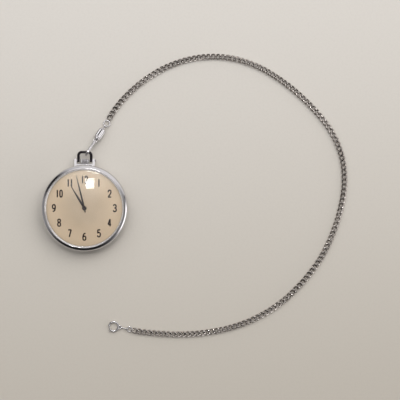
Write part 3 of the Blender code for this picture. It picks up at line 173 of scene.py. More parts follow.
class WatchColours(bpy.types.PropertyGroup):
    """Colours of the watch and its chain."""

    chrome: colour_setting("Chrome", "Polished case metal", 0.70, 0.685, 0.70)
    chain_metal: colour_setting("Chain Metal", "Metal of the curb chain", 0.50, 0.47, 0.45)
    bow_metal: colour_setting("Bow Metal", "Dark metal of the bow", 0.03, 0.026, 0.03)
    dial: colour_setting("Dial", "Satin cream of the dial", 0.575, 0.455, 0.334)
    print_ink: colour_setting("Print", "Printed numbers and hands", 0.020, 0.008, 0.009)
    brass: colour_setting("Brass", "Wheels of the movement", 0.66, 0.45, 0.17)
    nickel: colour_setting("Nickel", "Plates of the movement", 0.58, 0.56, 0.52)
    steel: colour_setting("Steel", "Arbors, pinions and springs", 0.5, 0.49, 0.48)
    blued: colour_setting("Blued Steel", "Screws and the hairspring", 0.03, 0.05, 0.18)


class StageSettings(bpy.types.PropertyGroup):
    """The table, the lamps and the camera."""

    field: length_setting("Field", "Width of table that the camera sees", 208.3, 10.0)
    camera_height: length_setting(
        "Camera Height", "Height of the camera over the table", 700.0, 100.0)
    camera_x: length_setting(
        "Camera X", "Camera's place to the right of the watch", 59.6)
    camera_y: length_setting("Camera Y", "Camera's place towards 12 o'clock", 4.2)
    # The table's two colours are painted light and painted shade, the two ends of its light
    # falloff.
    table_light: colour_setting(
        "Table, Light Side", "Table colour where it is lightest", 0.70, 0.67, 0.63)
    table_dark: colour_setting(
        "Table, Dark Side", "Table colour where it is darkest", 0.535, 0.495, 0.435)
    key_power: power_setting(
        "Key Power", "Power of the large lamp at the upper right", 2.75)
    fill_power: power_setting(
        "Fill Power", "Power of the soft lamp at the upper left", 2.15)
    small_power: power_setting(
        "Small Lamp Power", "Power of the small lamp over 12 o'clock", 0.2)


def sizes():
    """Return the watch's sizes."""
    return bpy.context.scene.pocket_watch_sizes


def colours():
    """Return the colours."""
    return bpy.context.scene.pocket_watch_colours


def chain_sizes():
    """Return the chain's sizes."""
    return bpy.context.scene.pocket_watch_chain


def stage_settings():
    """Return the stage's settings."""
    return bpy.context.scene.pocket_watch_stage


# ---------------------------------------------------------------------- shader maths


class Value:
    """A shader number that takes part in Python sums."""

    def __init__(self, build, socket):
        self.build = build
        self.socket = socket

    def _maths(self, operation, first, second):
        node = self.build.node("ShaderNodeMath", {"operation": operation},
                               {0: first, 1: second})
        return Value(self.build, node.outputs[0])

    def __add__(self, other):
        return self._maths("ADD", self, other)

    def __radd__(self, other):
        return self._maths("ADD", other, self)

    def __sub__(self, other):
        return self._maths("SUBTRACT", self, other)

    def __rsub__(self, other):
        return self._maths("SUBTRACT", other, self)

    def __mul__(self, other):
        return self._maths("MULTIPLY", self, other)

    def __rmul__(self, other):
        return self._maths("MULTIPLY", other, self)

    def __truediv__(self, other):
        return self._maths("DIVIDE", self, other)

    def __pow__(self, other):
        return self._maths("POWER", self, other)

    def between(self, low, high):
        """Rise smoothly from 0 at low to 1 at high."""
        node = self.build.node(
            "ShaderNodeMapRange", {"interpolation_type": "SMOOTHSTEP"},
            {"Value": self, "From Min": low, "From Max": high})
        return Value(self.build, node.outputs["Result"])


class Finish:
    """Builds one node material, or the world's nodes."""

    def __init__(self, owner):
        owner.use_nodes = True
        self.owner = owner
        self.tree = owner.node_tree
        self.tree.nodes.clear()

    def node(self, kind, settings=None, inputs=None):
        """Add a node: its settings come first, then its sockets' values or links."""
        node = self.tree.nodes.new(kind)
        for name, value in (settings or {}).items():
            if name == "stops":
                self._set_stops(node, value)
            else:
                setattr(node, name, value)
        for name, value in (inputs or {}).items():
            self.feed(node.inputs[name], value)
        return node

    def feed(self, socket, value):
        """Give a socket a value or a link."""
        if isinstance(value, Value):
            value = value.socket
        if isinstance(value, bpy.types.NodeSocket):
            self.tree.links.new(value, socket)
        else:
            socket.default_value = value

    @staticmethod
    def _set_stops(node, stops):
        elements = node.color_ramp.elements
        while len(elements) < len(stops):
            elements.new(0.5)
        for element, (place, colour) in zip(elements, stops):
            element.position = place
            element.color = colour

    def place(self):
        """Return the point in the object's own space."""
        return self.node("ShaderNodeTexCoord").outputs["Object"]

    def axes(self, vector):
        """Return the three parts of a vector."""
        node = self.node("ShaderNodeSeparateXYZ", {}, {0: vector})
        return [Value(self, out) for out in node.outputs]

    def noise(self, scale, detail=3.0, vector=None, roughness=0.5):
        """Return smooth noise from 0 to 1."""
        node = self.node("ShaderNodeTexNoise", {}, {
            "Vector": vector if vector is not None else self.place(), "Scale": scale,
            "Detail": detail, "Roughness": roughness})
        return Value(self, node.outputs["Fac"])

    def ramp(self, place, stops):
        """Return a number that follows stops of place and grey."""
        node = self.node("ShaderNodeValToRGB", {
            "stops": [(at, (grey, grey, grey, 1.0)) for at, grey in stops]}, {"Fac": place})
        return Value(self, node.outputs["Color"])

    def stretched(self, factors):
        """Return the object's point scaled by factors, for brushed grain."""
        node = self.node("ShaderNodeVectorMath", {"operation": "MULTIPLY"},
                         {0: self.place(), 1: factors})
        return node.outputs["Vector"]

    def blend(self, mask, first, second):
        """Mix two colours by a mask."""
        node = self.node("ShaderNodeMix", {"data_type": "RGBA"}, {0: mask, 6: first, 7: second})
        return node.outputs[2]

    def edge_wear(self, low=0.52, high=0.60):
        """Return a mask that is 1 on sharp outer edges."""
        geometry = self.node("ShaderNodeNewGeometry")
        return Value(self, geometry.outputs["Pointiness"]).between(low, high)

    def bump(self, height, strength, distance=0.02 * MM):
        """Return a normal bent by a height, which is grain if no distance is given."""
        node = self.node("ShaderNodeBump", {}, {
            "Height": height, "Strength": strength, "Distance": distance})
        return node.outputs["Normal"]

    def surface(self, **values):
        """Finish with a Principled shader whose sockets get these values."""
        names = {key.replace("_", " ").title().replace("Ior", "IOR"): value
                 for key, value in values.items()}
        shader = self.node("ShaderNodeBsdfPrincipled", {}, names)
        return self.output(shader.outputs["BSDF"])

    def output(self, shader):
        """Send a shader to the material's surface."""
        self.node("ShaderNodeOutputMaterial", {}, {"Surface": shader})
        return self.owner


def new_finish(name):
    """Start a material."""
    return Finish(bpy.data.materials.new(name))


def tint(colour, factor):
    """Return a colour made lighter or darker."""
    return (*(min(1.0, part * factor) for part in colour[:3]), 1.0)


def polished_metal(name, colour, roughness, grime=0.35, scratch=0.5):
    """Polished metal with fine wiping scratches, faint smears and dulled hollows."""
    build = new_finish(name)
    smear = build.noise(260.0, 4.0)
    fine = build.noise(5200.0, 2.0, build.stretched((1.0, 0.16, 1.0)))
    cloud = build.noise(900.0, 5.0, roughness=0.65)
    worn = build.edge_wear()
    dull = smear.between(0.55, 0.80) * grime
    base = build.blend(dull, tint(colour, 1.0), tint(colour, 0.72))
    base = build.blend(worn * 0.4, base, tint(colour, 1.2))
    rough = roughness + 0.10 * dull + 0.05 * cloud.between(0.35, 0.8) * scratch
    return build.surface(base_color=base, metallic=1.0, roughness=rough,
                         normal=build.bump(fine, 0.03 * scratch))


def chain_metal(name, colour):
    """Tumbled link metal: bright on its worn crowns, with a dark brown painted shade laid on in
    noise patches for the shade in and between the links.
    """
    build = new_finish(name)
    worn = build.edge_wear(0.49, 0.56)
    patch = build.noise(700.0, 4.0)
    grain = build.noise(4200.0, 3.0)
    # Painted shade: a dark brown copy of the metal, blended in by noise patches, stands in for
    # the shade in and between the links.
    painted_recess_shade = (colour[0] * 0.36, colour[1] * 0.30, colour[2] * 0.25, 1.0)
    base = build.blend(patch.between(0.35, 0.7), painted_recess_shade, tint(colour, 1.0))
    base = build.blend(worn * 0.6, base, tint(colour, 1.4))
    rough = 0.12 + 0.12 * patch.between(0.4, 0.8) + 0.06 * grain
    return build.surface(base_color=base, metallic=1.0, roughness=rough,
                         normal=build.bump(grain, 0.1))


def dial_enamel(name, colour):
    """Satin lacquer over fine metal grain, made paler outwards by painted light and dark at its
    very edge by painted shade under the bezel.
    """
    build = new_finish(name)
    x, y, _ = build.axes(build.place())
    radius = ((x * x + y * y) ** 0.5) / radius_of("dial")
    grain = build.noise(2600.0, 3.0)
    age = build.noise(120.0, 5.0, roughness=0.6)
    base = build.blend(age.between(0.3, 0.75), tint(colour, 0.96), tint(colour, 1.05))
    # Painted light: paler towards the rim, standing in for the glare the crystal throws onto the
    # dial.
    base = build.blend(radius.between(0.25, 0.8) * 0.6, base, tint(colour, 1.36))
    # Painted shade: the very edge is darkened where the bezel shades the dial.
    base = build.blend(radius.between(0.92, 1.0) * 0.4, base, tint(colour, 0.62))
    rough = 0.46 + 0.1 * grain
    return build.surface(base_color=base, metallic=0.0, roughness=rough, coat_weight=0.25,
                         coat_roughness=0.12, normal=build.bump(grain, 0.05))


def lacquer(name, colour):
    """Dark lacquer with faint lighter dust."""
    build = new_finish(name)
    dust = build.noise(1500.0, 4.0)
    base = build.blend(dust.between(0.5, 0.8) * 0.5, tint(colour, 1.0), tint(colour, 2.2))
    return build.surface(base_color=base, roughness=0.42 + 0.15 * dust,
                         specular_ior_level=0.25, coat_weight=0.06, coat_roughness=0.2)


def watch_glass(name):
    """Clear crystal: it reflects by Fresnel and lets the lamps through to the dial."""
    build = new_finish(name)
    smudge = build.noise(160.0, 4.0)
    clear = build.node("ShaderNodeBsdfTransparent", {}, {"Color": (0.995, 0.997, 0.99, 1)})
    gloss = build.node("ShaderNodeBsdfGlossy", {}, {"Color": (1, 1, 1, 1),
                                                    "Roughness": 0.02})
    fresnel = build.node("ShaderNodeFresnel", {}, {"IOR": 1.5})
    mask = Value(build, fresnel.outputs[0]) * (0.46 + 0.1 * smudge)
    mix = build.node("ShaderNodeMixShader", {}, {0: mask, 1: clear.outputs[0],
                                                 2: gloss.outputs[0]})
    return build.output(mix.outputs[0])


def brushed_brass(name, colour):
    """Gilt brass with circular brushing."""
    build = new_finish(name)
    grain = build.noise(3800.0, 3.0, build.stretched((1.0, 0.2, 1.0)))
    patina = build.noise(500.0, 4.0)
    base = build.blend(patina.between(0.4, 0.75) * 0.5, tint(colour, 1.05), tint(colour, 0.7))
    return build.surface(base_color=base, metallic=1.0, roughness=0.24 + 0.12 * grain,
                         normal=build.bump(grain, 0.08))


def pearled_nickel(name, colour):
    """Nickel plate with overlapping round brushed spots."""
    build = new_finish(name)
    cells = build.node("ShaderNodeTexVoronoi", {"feature": "F1"},
                       {"Vector": build.place(), "Scale": 900.0, "Randomness": 0.0})
    distance = Value(build, cells.outputs["Distance"])
    rings = build.node("ShaderNodeMath", {"operation": "SINE"}, {0: distance * 40.0})
    ripple = Value(build, rings.outputs[0]) * 0.5 + 0.5
    stain = build.noise(300.0, 4.0)
    base = build.blend(ripple * 0.35, tint(colour, 1.0), tint(colour, 0.8))
    base = build.blend(stain.between(0.5, 0.8) * 0.4, base, tint(colour, 0.65))
    return build.surface(base_color=base, metallic=1.0, roughness=0.26 + 0.12 * ripple,
                         normal=build.bump(ripple, 0.08))


def grained_steel(name, colour, roughness, shift=(0.82, 0.81, 0.8)):
    """Steel with straight grain, whose tone drifts towards a shifted tint."""
    build = new_finish(name)
    grain = build.noise(4200.0, 2.0, build.stretched((0.15, 1.0, 1.0)))
    temper = build.noise(420.0, 2.0)
    shifted = (*(part * share for part, share in zip(colour, shift)), 1.0)
    base = build.blend(temper.between(0.35, 0.7), tint(colour, 1.0), shifted)
    return build.surface(base_color=base, metallic=1.0, roughness=roughness + 0.08 * grain,
                         normal=build.bump(grain, 0.05))


BLUEING_SHIFT = (2.2, 1.2, 0.85)
FINISHES = {}


def finish_of(name):
    """Return a finish by its name, made the first time it is asked for."""
    if name not in FINISHES:
        made = {
            "chrome": lambda: polished_metal(name, colours().chrome, 0.05),
            "chrome_satin": lambda: polished_metal(name, tint(colours().chrome, 0.8), 0.22, 0.6,
                                                   1.0),
            "bow_metal": lambda: polished_metal(name, colours().bow_metal, 0.14, 0.5, 0.8),
            "chain_metal": lambda: chain_metal(name, colours().chain_metal),
            "dial_cream": lambda: dial_enamel(name, colours().dial),
            "print_ink": lambda: lacquer(name, colours().print_ink),
            "crystal_glass": lambda: watch_glass(name),
            "brass": lambda: brushed_brass(name, colours().brass),
            "nickel": lambda: pearled_nickel(name, colours().nickel),
            "steel": lambda: grained_steel(name, colours().steel, 0.22),
            "blued_steel": lambda: grained_steel(name, colours().blued, 0.16,
                                                 BLUEING_SHIFT),
        }
        FINISHES[name] = made[name]()
    return FINISHES[name]


# ------------------------------------------------------------------------ mesh helpers


def put_in_scene(item, finish, slot, body, *nodes):
    """Link an object, finish it and let it stand for CAD nodes.

    It rides on a body, or on none.
    """
    bpy.context.scene.collection.objects.link(item)
    item.data.materials.clear()
    item.data.materials.append(finish_of(finish))
    if body:
        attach(item, body)
    if nodes:
        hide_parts(*nodes)


# Angles, in degrees, past which an edge stays sharp.
WIRE_EDGE = 40.0
TURNED_EDGE = 32.0
FLUTED_EDGE = 28.0
BLADE_EDGE = 18.0
BEVELLED_EDGE = 60.0


def from_bmesh(name, mesh_data, smooth_angle=WIRE_EDGE):
    """Turn a bmesh into an object that is smooth apart from its sharp edges."""
    bmesh.ops.remove_doubles(mesh_data, verts=mesh_data.verts, dist=1e-7)
    bmesh.ops.recalc_face_normals(mesh_data, faces=mesh_data.faces)
    limit = math.radians(smooth_angle)
    for face in mesh_data.faces:
        face.smooth = True
    for edge in mesh_data.edges:
        if len(edge.link_faces) == 2 and edge.calc_face_angle(0.0) > limit:
            edge.smooth = False
    mesh = bpy.data.meshes.new(name)
    mesh_data.to_mesh(mesh)
    mesh_data.free()
    return bpy.data.objects.new(name, mesh)


def smooth_profile(points, steps):
    """Return a curve through profile points, rounded between them."""
    places = [Vector(p) for p in points]
    padded = [2 * places[0] - places[1]] + places + [2 * places[-1] - places[-2]]
    fine = []
    for i in range(1, len(padded) - 2):
        before, start, end, after = padded[i - 1:i + 3]
        for step in range(steps):
            t = step / steps
            fine.append(0.5 * (2 * start + (end - before) * t
                               + (2 * before - 5 * start + 4 * end - after) * t ** 2
                               + (3 * start - before - 3 * end + after) * t ** 3))
    fine.append(places[-1])
    return fine


def from_corner(radius, height, *steps):
    """Return profile points given in millimetres outwards and upwards from a corner."""
    return [(radius + out * MM, height + up * MM) for out, up in steps]


def disc(outer, half, bevel, bevel_up, inner=0.0):
    """Return a round disc's profile with bevelled edges, from sizes in millimetres."""
    lower = ((inner, -half), (outer - bevel, -half), (outer, bevel_up - half))
    return from_corner(0, 0, *lower, *((out, -up) for out, up in lower[::-1]))


def lathe(mesh_data, profile, sides, matrix=None, waves=0, wave_height=0.0, wave_range=None):
    """Turn a closed profile of (radius, height) round an axis, ribbed where asked."""
    columns = []
    for side in range(sides):
        angle = TURN * side / sides
        column = []
        for radius, height in profile:
            ribbed = waves and wave_range[0] <= height <= wave_range[1] and radius > 0
            rise = wave_height * math.cos(waves * angle) if ribbed else 0.0
            point = Vector(((radius + rise) * math.cos(angle),
                            (radius + rise) * math.sin(angle), height))
            column.append(mesh_data.verts.new(matrix @ point if matrix else point))
        columns.append(column)
    count = len(profile)
    for side in range(sides):
        one, two = columns[side], columns[(side + 1) % sides]
        for row in range(count):
            nxt = (row + 1) % count
            if profile[row][0] <= 0 and profile[nxt][0] <= 0:
                continue
            corners = [one[row], two[row], two[nxt], one[nxt]]
            if profile[row][0] <= 0:
                corners = [one[row], two[nxt], one[nxt]]
            elif profile[nxt][0] <= 0:
                corners = [one[row], two[row], one[nxt]]
            mesh_data.faces.new(corners)


def turned_piece(name, profile, sides, matrix=None, **ribs):
    """Make a lathe-turned object."""
    mesh_data = bmesh.new()
    lathe(mesh_data, profile, sides, matrix, **ribs)
    return from_bmesh(name, mesh_data, TURNED_EDGE)


def tube(mesh_data, points, radii, closed=False, sides=14, flat=None):
    """Sweep a round section along points with domed ends."""
    count = len(points)
    radii = [radii] * count if isinstance(radii, float) else list(radii)
    first = points[1] - points[0]
    normal = first.orthogonal().normalized()
    rings = []
    for i in range(count):
        before = points[i - 1] if closed or i else points[0]
        after = points[(i + 1) % count] if closed or i < count - 1 else points[-1]
        along = (after - before).normalized()
        normal = (normal - along * normal.dot(along)).normalized()
        side = along.cross(normal)
        ring = []
        for step in range(sides):
            angle = TURN * step / sides
            offset = normal * math.cos(angle) + side * math.sin(angle)
            if flat:
                offset = Vector((offset.x, offset.y, offset.z * flat))
            ring.append(mesh_data.verts.new(points[i] + offset * radii[i]))
        rings.append(ring)
    if closed:
        shift = nearest_turn(rings[0], rings[-1])
        rings.append(rings[0][shift:] + rings[0][:shift])
    for one, two in zip(rings, rings[1:]):
        for step in range(sides):
            nxt = (step + 1) % sides
            mesh_data.faces.new((one[step], one[nxt], two[nxt], two[step]))
    if not closed:
        for ring, towards, radius in ((rings[0], points[0] - points[1], radii[0]),
                                      (rings[-1], points[-1] - points[-2], radii[-1])):
            dome_end(mesh_data, ring, towards.normalized(), radius, ring is rings[0])


def nearest_turn(first, last):
    """Return how far a closed sweep's first ring is turned from its last."""
    return min(range(len(first)), key=lambda k: (first[k].co - last[0].co).length)


DOME_WAIST = 0.7
DOME_WAIST_RISE = 0.28
DOME_RISE = 0.38


def dome_end(mesh_data, ring, towards, radius, backwards):
    """Close a tube's end with a low dome."""
    centre = sum((vertex.co for vertex in ring), Vector()) / len(ring)
    waist = centre + towards * radius * DOME_WAIST_RISE
    inner = [mesh_data.verts.new(waist + (vertex.co - centre) * DOME_WAIST) for vertex in ring]
    tip = mesh_data.verts.new(centre + towards * radius * DOME_RISE)
    for step, vertex in enumerate(ring):
        nxt = (step + 1) % len(ring)
        band = (vertex, inner[step], inner[nxt], ring[nxt])
        cap = (inner[step], tip, inner[nxt])
        mesh_data.faces.new(band if backwards else band[::-1])
        mesh_data.faces.new(cap if backwards else cap[::-1])


def tube_piece(name, points, radii, closed=False, sides=14, matrix=None):
    """Make a swept wire object."""
    mesh_data = bmesh.new()
    places = [matrix @ Vector(p) if matrix else Vector(p) for p in points]
    tube(mesh_data, places, radii, closed, sides)
    return from_bmesh(name, mesh_data)


def arc_points(radius, start, end, steps, centre=(0.0, 0.0)):
    """Return points along an arc in a plane."""
    angles = [start + (end - start) * i / steps for i in range(steps + 1)]
    return [(centre[0] + radius * math.cos(a), centre[1] + radius * math.sin(a))
            for a in angles]


def ring_points(radius, steps):
    """Return points round a circle in a plane."""
    return [(radius * math.cos(TURN * i / steps), radius * math.sin(TURN * i / steps))
            for i in range(steps)]


def along_y(origin):
    """Return a placement that stands an axis of a turned piece along Y."""
    return Matrix.Translation(origin) @ Matrix.Rotation(-QUARTER, 4, "X")


def chain_route():
    """Return a fine smooth curve through the chain's points, in metres."""
    return smooth_profile([Vector(p) * MM for p in CHAIN_ROUTE], ROUTE_STEPS)


class Walk:
    """Measures along a line of points."""

    def __init__(self, points):
        self.points = [Vector((p.x, p.y)) for p in points]
        self.lengths = [0.0]
        for first, second in zip(self.points, self.points[1:]):
            self.lengths.append(self.lengths[-1] + (second - first).length)
        self.total = self.lengths[-1]

    def at(self, distance):
        """Return the point and the heading at a distance along the line."""
        i = 0
        while i < len(self.lengths) - 2 and self.lengths[i + 1] < distance:
            i += 1
        share = (distance - self.lengths[i]) / (self.lengths[i + 1] - self.lengths[i])
        first, second = self.points[i], self.points[i + 1]
        heading = math.atan2(second.y - first.y, second.x - first.x)
        return first.lerp(second, share), heading


# ------------------------------------------------------------------------- the stage


TABLE_HALF = 3.0
TABLE_DROP = 0.02 * MM
# The two large lamps hang at these places from the middle of the camera's field.
KEY_OFFSET = Vector((0.30, 0.36, 0.66))
KEY_WIDTH = 0.62
KEY_COLOUR = (1.0, 0.985, 0.96)
FILL_OFFSET = Vector((-0.50, 0.30, 0.70))
FILL_WIDTH = 0.8
# The small lamp is the one that shows as a spot in the crystal.
SMALL_LAMP_AT = Vector((-0.016, 0.152, 0.60))
SMALL_LAMP_AIM = Vector((0, 0.012, 0))
SMALL_LAMP_WIDTH = 0.055


def soft_lamp(name, place, target, size, power, colour=(1, 1, 1), mirrored=False):
    """Hang a square soft lamp that shines towards a target, and say if metal shows it."""
    data = bpy.data.lights.new(name, "AREA")
    data.shape = "SQUARE"
    data.size = size
    data.energy = power
    data.color = colour
    lamp = bpy.data.objects.new(name, data)
    lamp.location = place
    lamp.rotation_euler = (target - place).to_track_quat("-Z", "Y").to_euler()
    lamp.visible_glossy = mirrored
    bpy.context.scene.collection.objects.link(lamp)


# How much of the table's painted light falloff drifts from right to left, and the colour of its
# fibres.
PAINTED_LIGHT_LEFT_SHARE = 0.10
FIBRE_COLOUR = (0.30, 0.28, 0.25, 1)


def table_finish():
    """Matt paper with painted light: its colour drifts from a lit side to a shaded side."""
    settings = stage_settings()
    build = new_finish("table_paper")
    x, y, _ = build.axes(build.place())
    field = settings.field
    centre_x, centre_y = settings.camera_x, settings.camera_y
    up_field = (y - centre_y) * (1.0 / field) + 0.5
    fibre = build.noise(900.0, 4.0)
    # Painted light: the paper is lighter towards 12 o'clock and a little towards the left,
    # standing in for how the lamps fall across the table.
    tone = up_field.between(-0.25, 1.25)
    left = ((x - centre_x) * (-0.35 / field)).between(-0.5, 0.5) * PAINTED_LIGHT_LEFT_SHARE
    base = build.blend(tone + left - PAINTED_LIGHT_LEFT_SHARE / 2, settings.table_dark, settings.table_light)
    base = build.blend(fibre.between(0.4, 0.7) * 0.04, base, FIBRE_COLOUR)
    return build.surface(base_color=base, roughness=0.85,
                         normal=build.bump(fibre, 0.05, 0.05 * MM))


# The room's brightness round the watch, from 6 o'clock clockwise back to 6 o'clock: its walls
# near the table, and its walls higher up.
WALL_LOW = (
    (0.0, 0.02), (0.11, 0.02), (0.16, 0.16), (0.20, 0.34), (0.28, 0.32), (0.315, 0.05),
    (0.375, 0.02), (0.42, 0.60), (0.50, 0.88), (0.64, 0.90), (0.69, 0.66), (0.705, 0.10),
    (0.725, 0.55), (0.75, 2.0), (0.83, 1.8), (0.87, 0.35), (0.91, 0.10), (0.95, 0.02),
    (1.0, 0.02))
WALL_HIGH = (
    (0.0, 0.03), (0.11, 0.03), (0.18, 0.24), (0.28, 0.26), (0.32, 0.06), (0.375, 0.03),
    (0.43, 0.62), (0.50, 0.90), (0.62, 0.88), (0.68, 0.40), (0.74, 0.20), (0.84, 0.22),
    (0.90, 0.10), (0.95, 0.03), (1.0, 0.03))
# The heights between which the low walls give way to the high ones.
WALLS_MEET = (0.35, 0.65)
# The ceiling leans towards 12 o'clock and narrows to each side.
CEILING_LEAN = 0.35
CEILING_NARROWING = 0.8
CEILING_EDGE = (0.88, 0.96)
CEILING_LIGHT = 0.9
# A soft glow overhead, near the small lamp.
GLOW_TOWARDS = Vector((-0.05, 0.28, 0.96)).normalized()
GLOW_EDGE = (0.962, 0.999)
GLOW_LIGHT = 1.8
ROOM_COLOUR = (1.0, 0.985, 0.98, 1)


def light_world():
    """Light the room softly and unevenly, so that polished metal has something to show."""
    world = bpy.data.worlds.new("studio")
    bpy.context.scene.world = world
    build = Finish(world)
    direction = build.node("ShaderNodeTexCoord").outputs["Generated"]
    x, y, z = build.axes(direction)
    turned = build.node("ShaderNodeMath", {"operation": "ARCTAN2"}, {0: x, 1: y})
    around = Value(build, turned.outputs[0]) * (1 / TURN) + 0.5
    near_table, upper = (build.ramp(around, stops) for stops in (WALL_LOW, WALL_HIGH))
    height = z.between(*WALLS_MEET)
    walls = near_table * (1 - height) + upper * height
    ceiling = (z + CEILING_LEAN * y - CEILING_NARROWING * x * x).between(*CEILING_EDGE)
    towards_glow = x * GLOW_TOWARDS.x + y * GLOW_TOWARDS.y + z * GLOW_TOWARDS.z
    glow = towards_glow.between(*GLOW_EDGE)
    tone = walls * (1 - ceiling) + ceiling * CEILING_LIGHT + glow * GLOW_LIGHT
    background = build.node("ShaderNodeBackground", {},
                            {"Color": ROOM_COLOUR, "Strength": tone})
    build.node("ShaderNodeOutputWorld", {}, {"Surface": background.outputs[0]})


class WATCH_OT_stage(bpy.types.Operator):
    """Make the camera, the table and the soft lamps"""

    bl_idname = "pocket_watch.stage"
    bl_label = "Stage"

    def execute(self, context):
        """Make the stage."""
        settings = stage_settings()
        camera_data = bpy.data.cameras.new("camera")
        camera_data.sensor_width = 36.0
        camera_data.lens = camera_data.sensor_width * settings.camera_height / settings.field
        camera = bpy.data.objects.new("camera", camera_data)
        # A new camera looks straight down, with its top towards 12 o'clock.
        camera.location = (settings.camera_x, settings.camera_y, settings.camera_height)
        context.scene.collection.objects.link(camera)
        context.scene.camera = camera
        mesh_data = bmesh.new()
        bmesh.ops.create_grid(mesh_data, x_segments=8, y_segments=8, size=TABLE_HALF)
        table = from_bmesh("table", mesh_data)
        table.location.z = -TABLE_DROP
        context.scene.collection.objects.link(table)
        table.data.materials.append(table_finish())
        centre = Vector((settings.camera_x, settings.camera_y, 0))
        soft_lamp("key_lamp", centre + KEY_OFFSET, centre, KEY_WIDTH, settings.key_power,
                  KEY_COLOUR)
        soft_lamp("fill_lamp", centre + FILL_OFFSET, centre, FILL_WIDTH, settings.fill_power)
        soft_lamp("small_lamp", SMALL_LAMP_AT, SMALL_LAMP_AIM, SMALL_LAMP_WIDTH,
                  settings.small_power, mirrored=True)
        light_world()
        context.scene.view_settings.view_transform = "Standard"
        return {"FINISHED"}


# ------------------------------------------------------------------------- the chain


def curb_link(mesh_data, centre, heading, across, length, wire, twist):
    """Add one twisted curb link."""
    steps, sides = 26, 8
    rotate = Matrix.Translation(centre) @ Matrix.Rotation(heading, 4, "Z")
    points = []
    for i in range(steps):
        angle = TURN * i / steps
        bend = twist * math.cos(angle)
        wide = across * math.sin(angle)
        points.append(rotate @ Vector((length * math.cos(angle), wide * math.cos(bend),
                                       wide * math.sin(bend))))
    tube(mesh_data, points, wire, closed=True, sides=sides)


class WATCH_OT_chain(bpy.types.Operator):
    """Make the curb chain link by link along its route on the table"""

    bl_idname = "pocket_watch.chain"
    bl_label = "Chain"

    def execute(self, context):
        """Make the chain."""
        size = chain_sizes()
        walk = Walk(chain_route())
        across = size.link_width / 2 - size.wire
        length = size.pitch / 2 + size.wire
        lift = size.wire + across * math.sin(size.twist) * LINK_LIFT
        count = round(walk.total / size.pitch)
        mesh_data = bmesh.new()
        for i in range(count):
            point, heading = walk.at((i + 0.5) * walk.total / count)
            curb_link(mesh_data, Vector((point.x, point.y, lift)), heading, across, length,
                      size.wire, size.twist)
        chain = from_bmesh("curb_chain", mesh_data)
        put_in_scene(chain, "chain_metal", "steel", None, "chain")
        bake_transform(chain)
        return {"FINISHED"}


def declare_chain():
    points = chain_route()
    walk = Walk(points)


# -------------------------------------------------------------------------- the case

CASE_SIDES = 192
MIDDLE_RADIUS = radius_of("case_middle")
BEZEL_RADIUS = radius_of("bezel")
BACK_RADIUS = radius_of("case_back")
GLASS_RADIUS = radius_of("crystal")
DIAL_RADIUS = radius_of("dial")
STEM_HEIGHT = middle("crown").z


class WATCH_OT_case(bpy.types.Operator):
    """Make the back, the middle band and the bezel"""

    bl_idname = "pocket_watch.case"
    bl_label = "Case"

    def execute(self, context):
        """Make the case."""
        low, high = low_z("case_middle"), high_z("case_middle")
        waist = (low + high) / 2
        rising = ((-0.50, 0), (-0.22, 0.35), (-0.05, 0.9))
        falling = [(out, -up) for out, up in rising[::-1]]
        band = smooth_profile(from_corner(MIDDLE_RADIUS, low, *rising)
                              + [(MIDDLE_RADIUS, waist)]
                              + from_corner(MIDDLE_RADIUS, high, *falling), 3)
        inner = MIDDLE_RADIUS - 2.75 * MM
        profile = [(p.x, p.y) for p in band] + [(inner, high), (inner, low)]
        item = turned_piece("case_band", profile, CASE_SIDES)
        put_in_scene(item, "chrome", "chrome_case", "case", "case_middle")
        self.bezel()
        self.back()
        return {"FINISHED"}

    def bezel(self):
        """Make the rounded bezel with the ledge that the crystal sits on."""
        low, high = low_z("bezel"), high_z("bezel")
        aperture = GLASS_RADIUS + 0.1 * MM
        rim = MIDDLE_RADIUS - 0.1 * MM
        ledge = high - 1.4 * MM
        crown = smooth_profile(
            [(BEZEL_RADIUS, low)] + from_corner(rim, low, (-0.05, 0.3), (0, 0.62))
            + from_corner(rim, high, (-0.04, -1.35), (-0.17, -1.06), (-0.50, -0.68),
                          (-0.95, -0.34), (-1.42, -0.11))
            + from_corner(aperture, high, (0.26, 0), (0.11, -0.09), (0, -0.26)), 5)
        profile = [(p.x, min(p.y, high)) for p in crown]
        profile += from_corner(aperture, ledge, (0, 0), (-0.38, 0), (-0.5, -0.1), (-0.5, -0.2))
        inner = DIAL_RADIUS + 0.3 * MM
        profile += [(inner, ledge - 0.2 * MM), (inner, low)]
        item = turned_piece("bezel_ring", profile, CASE_SIDES)
        put_in_scene(item, "chrome", "chrome_case", "case", "bezel")

    def back(self):
        """Make the snap back with its rolled edge and turned centre."""
        high = high_z("case_back")
        outer = smooth_profile(
            [(16.0 * MM, 0.0)] + from_corner(BACK_RADIUS, 0, (-3.65, 0.15), (-1.7, 0.72),
                                             (-0.55, 1.35), (-0.06, 2.1))
            + [(BACK_RADIUS, high)], 5)
        profile = from_corner(0, 0, (0, 0), (15.2, 0), (15.35, 0.06), (15.6, 0.06), (15.75, 0))
        profile += [(p.x, max(p.y, 0.0)) for p in outer]
        profile += [(BACK_RADIUS - 0.7 * MM, high)]
        profile += from_corner(BACK_RADIUS, 0, (-0.9, 1.9), (-2.2, 1.3))
        profile += from_corner(0, 0, (15.7, 0.6), (0, 0.6))
        item = turned_piece("snap_back", profile, CASE_SIDES)
        put_in_scene(item, "chrome", "chrome_case", "case", "case_back")


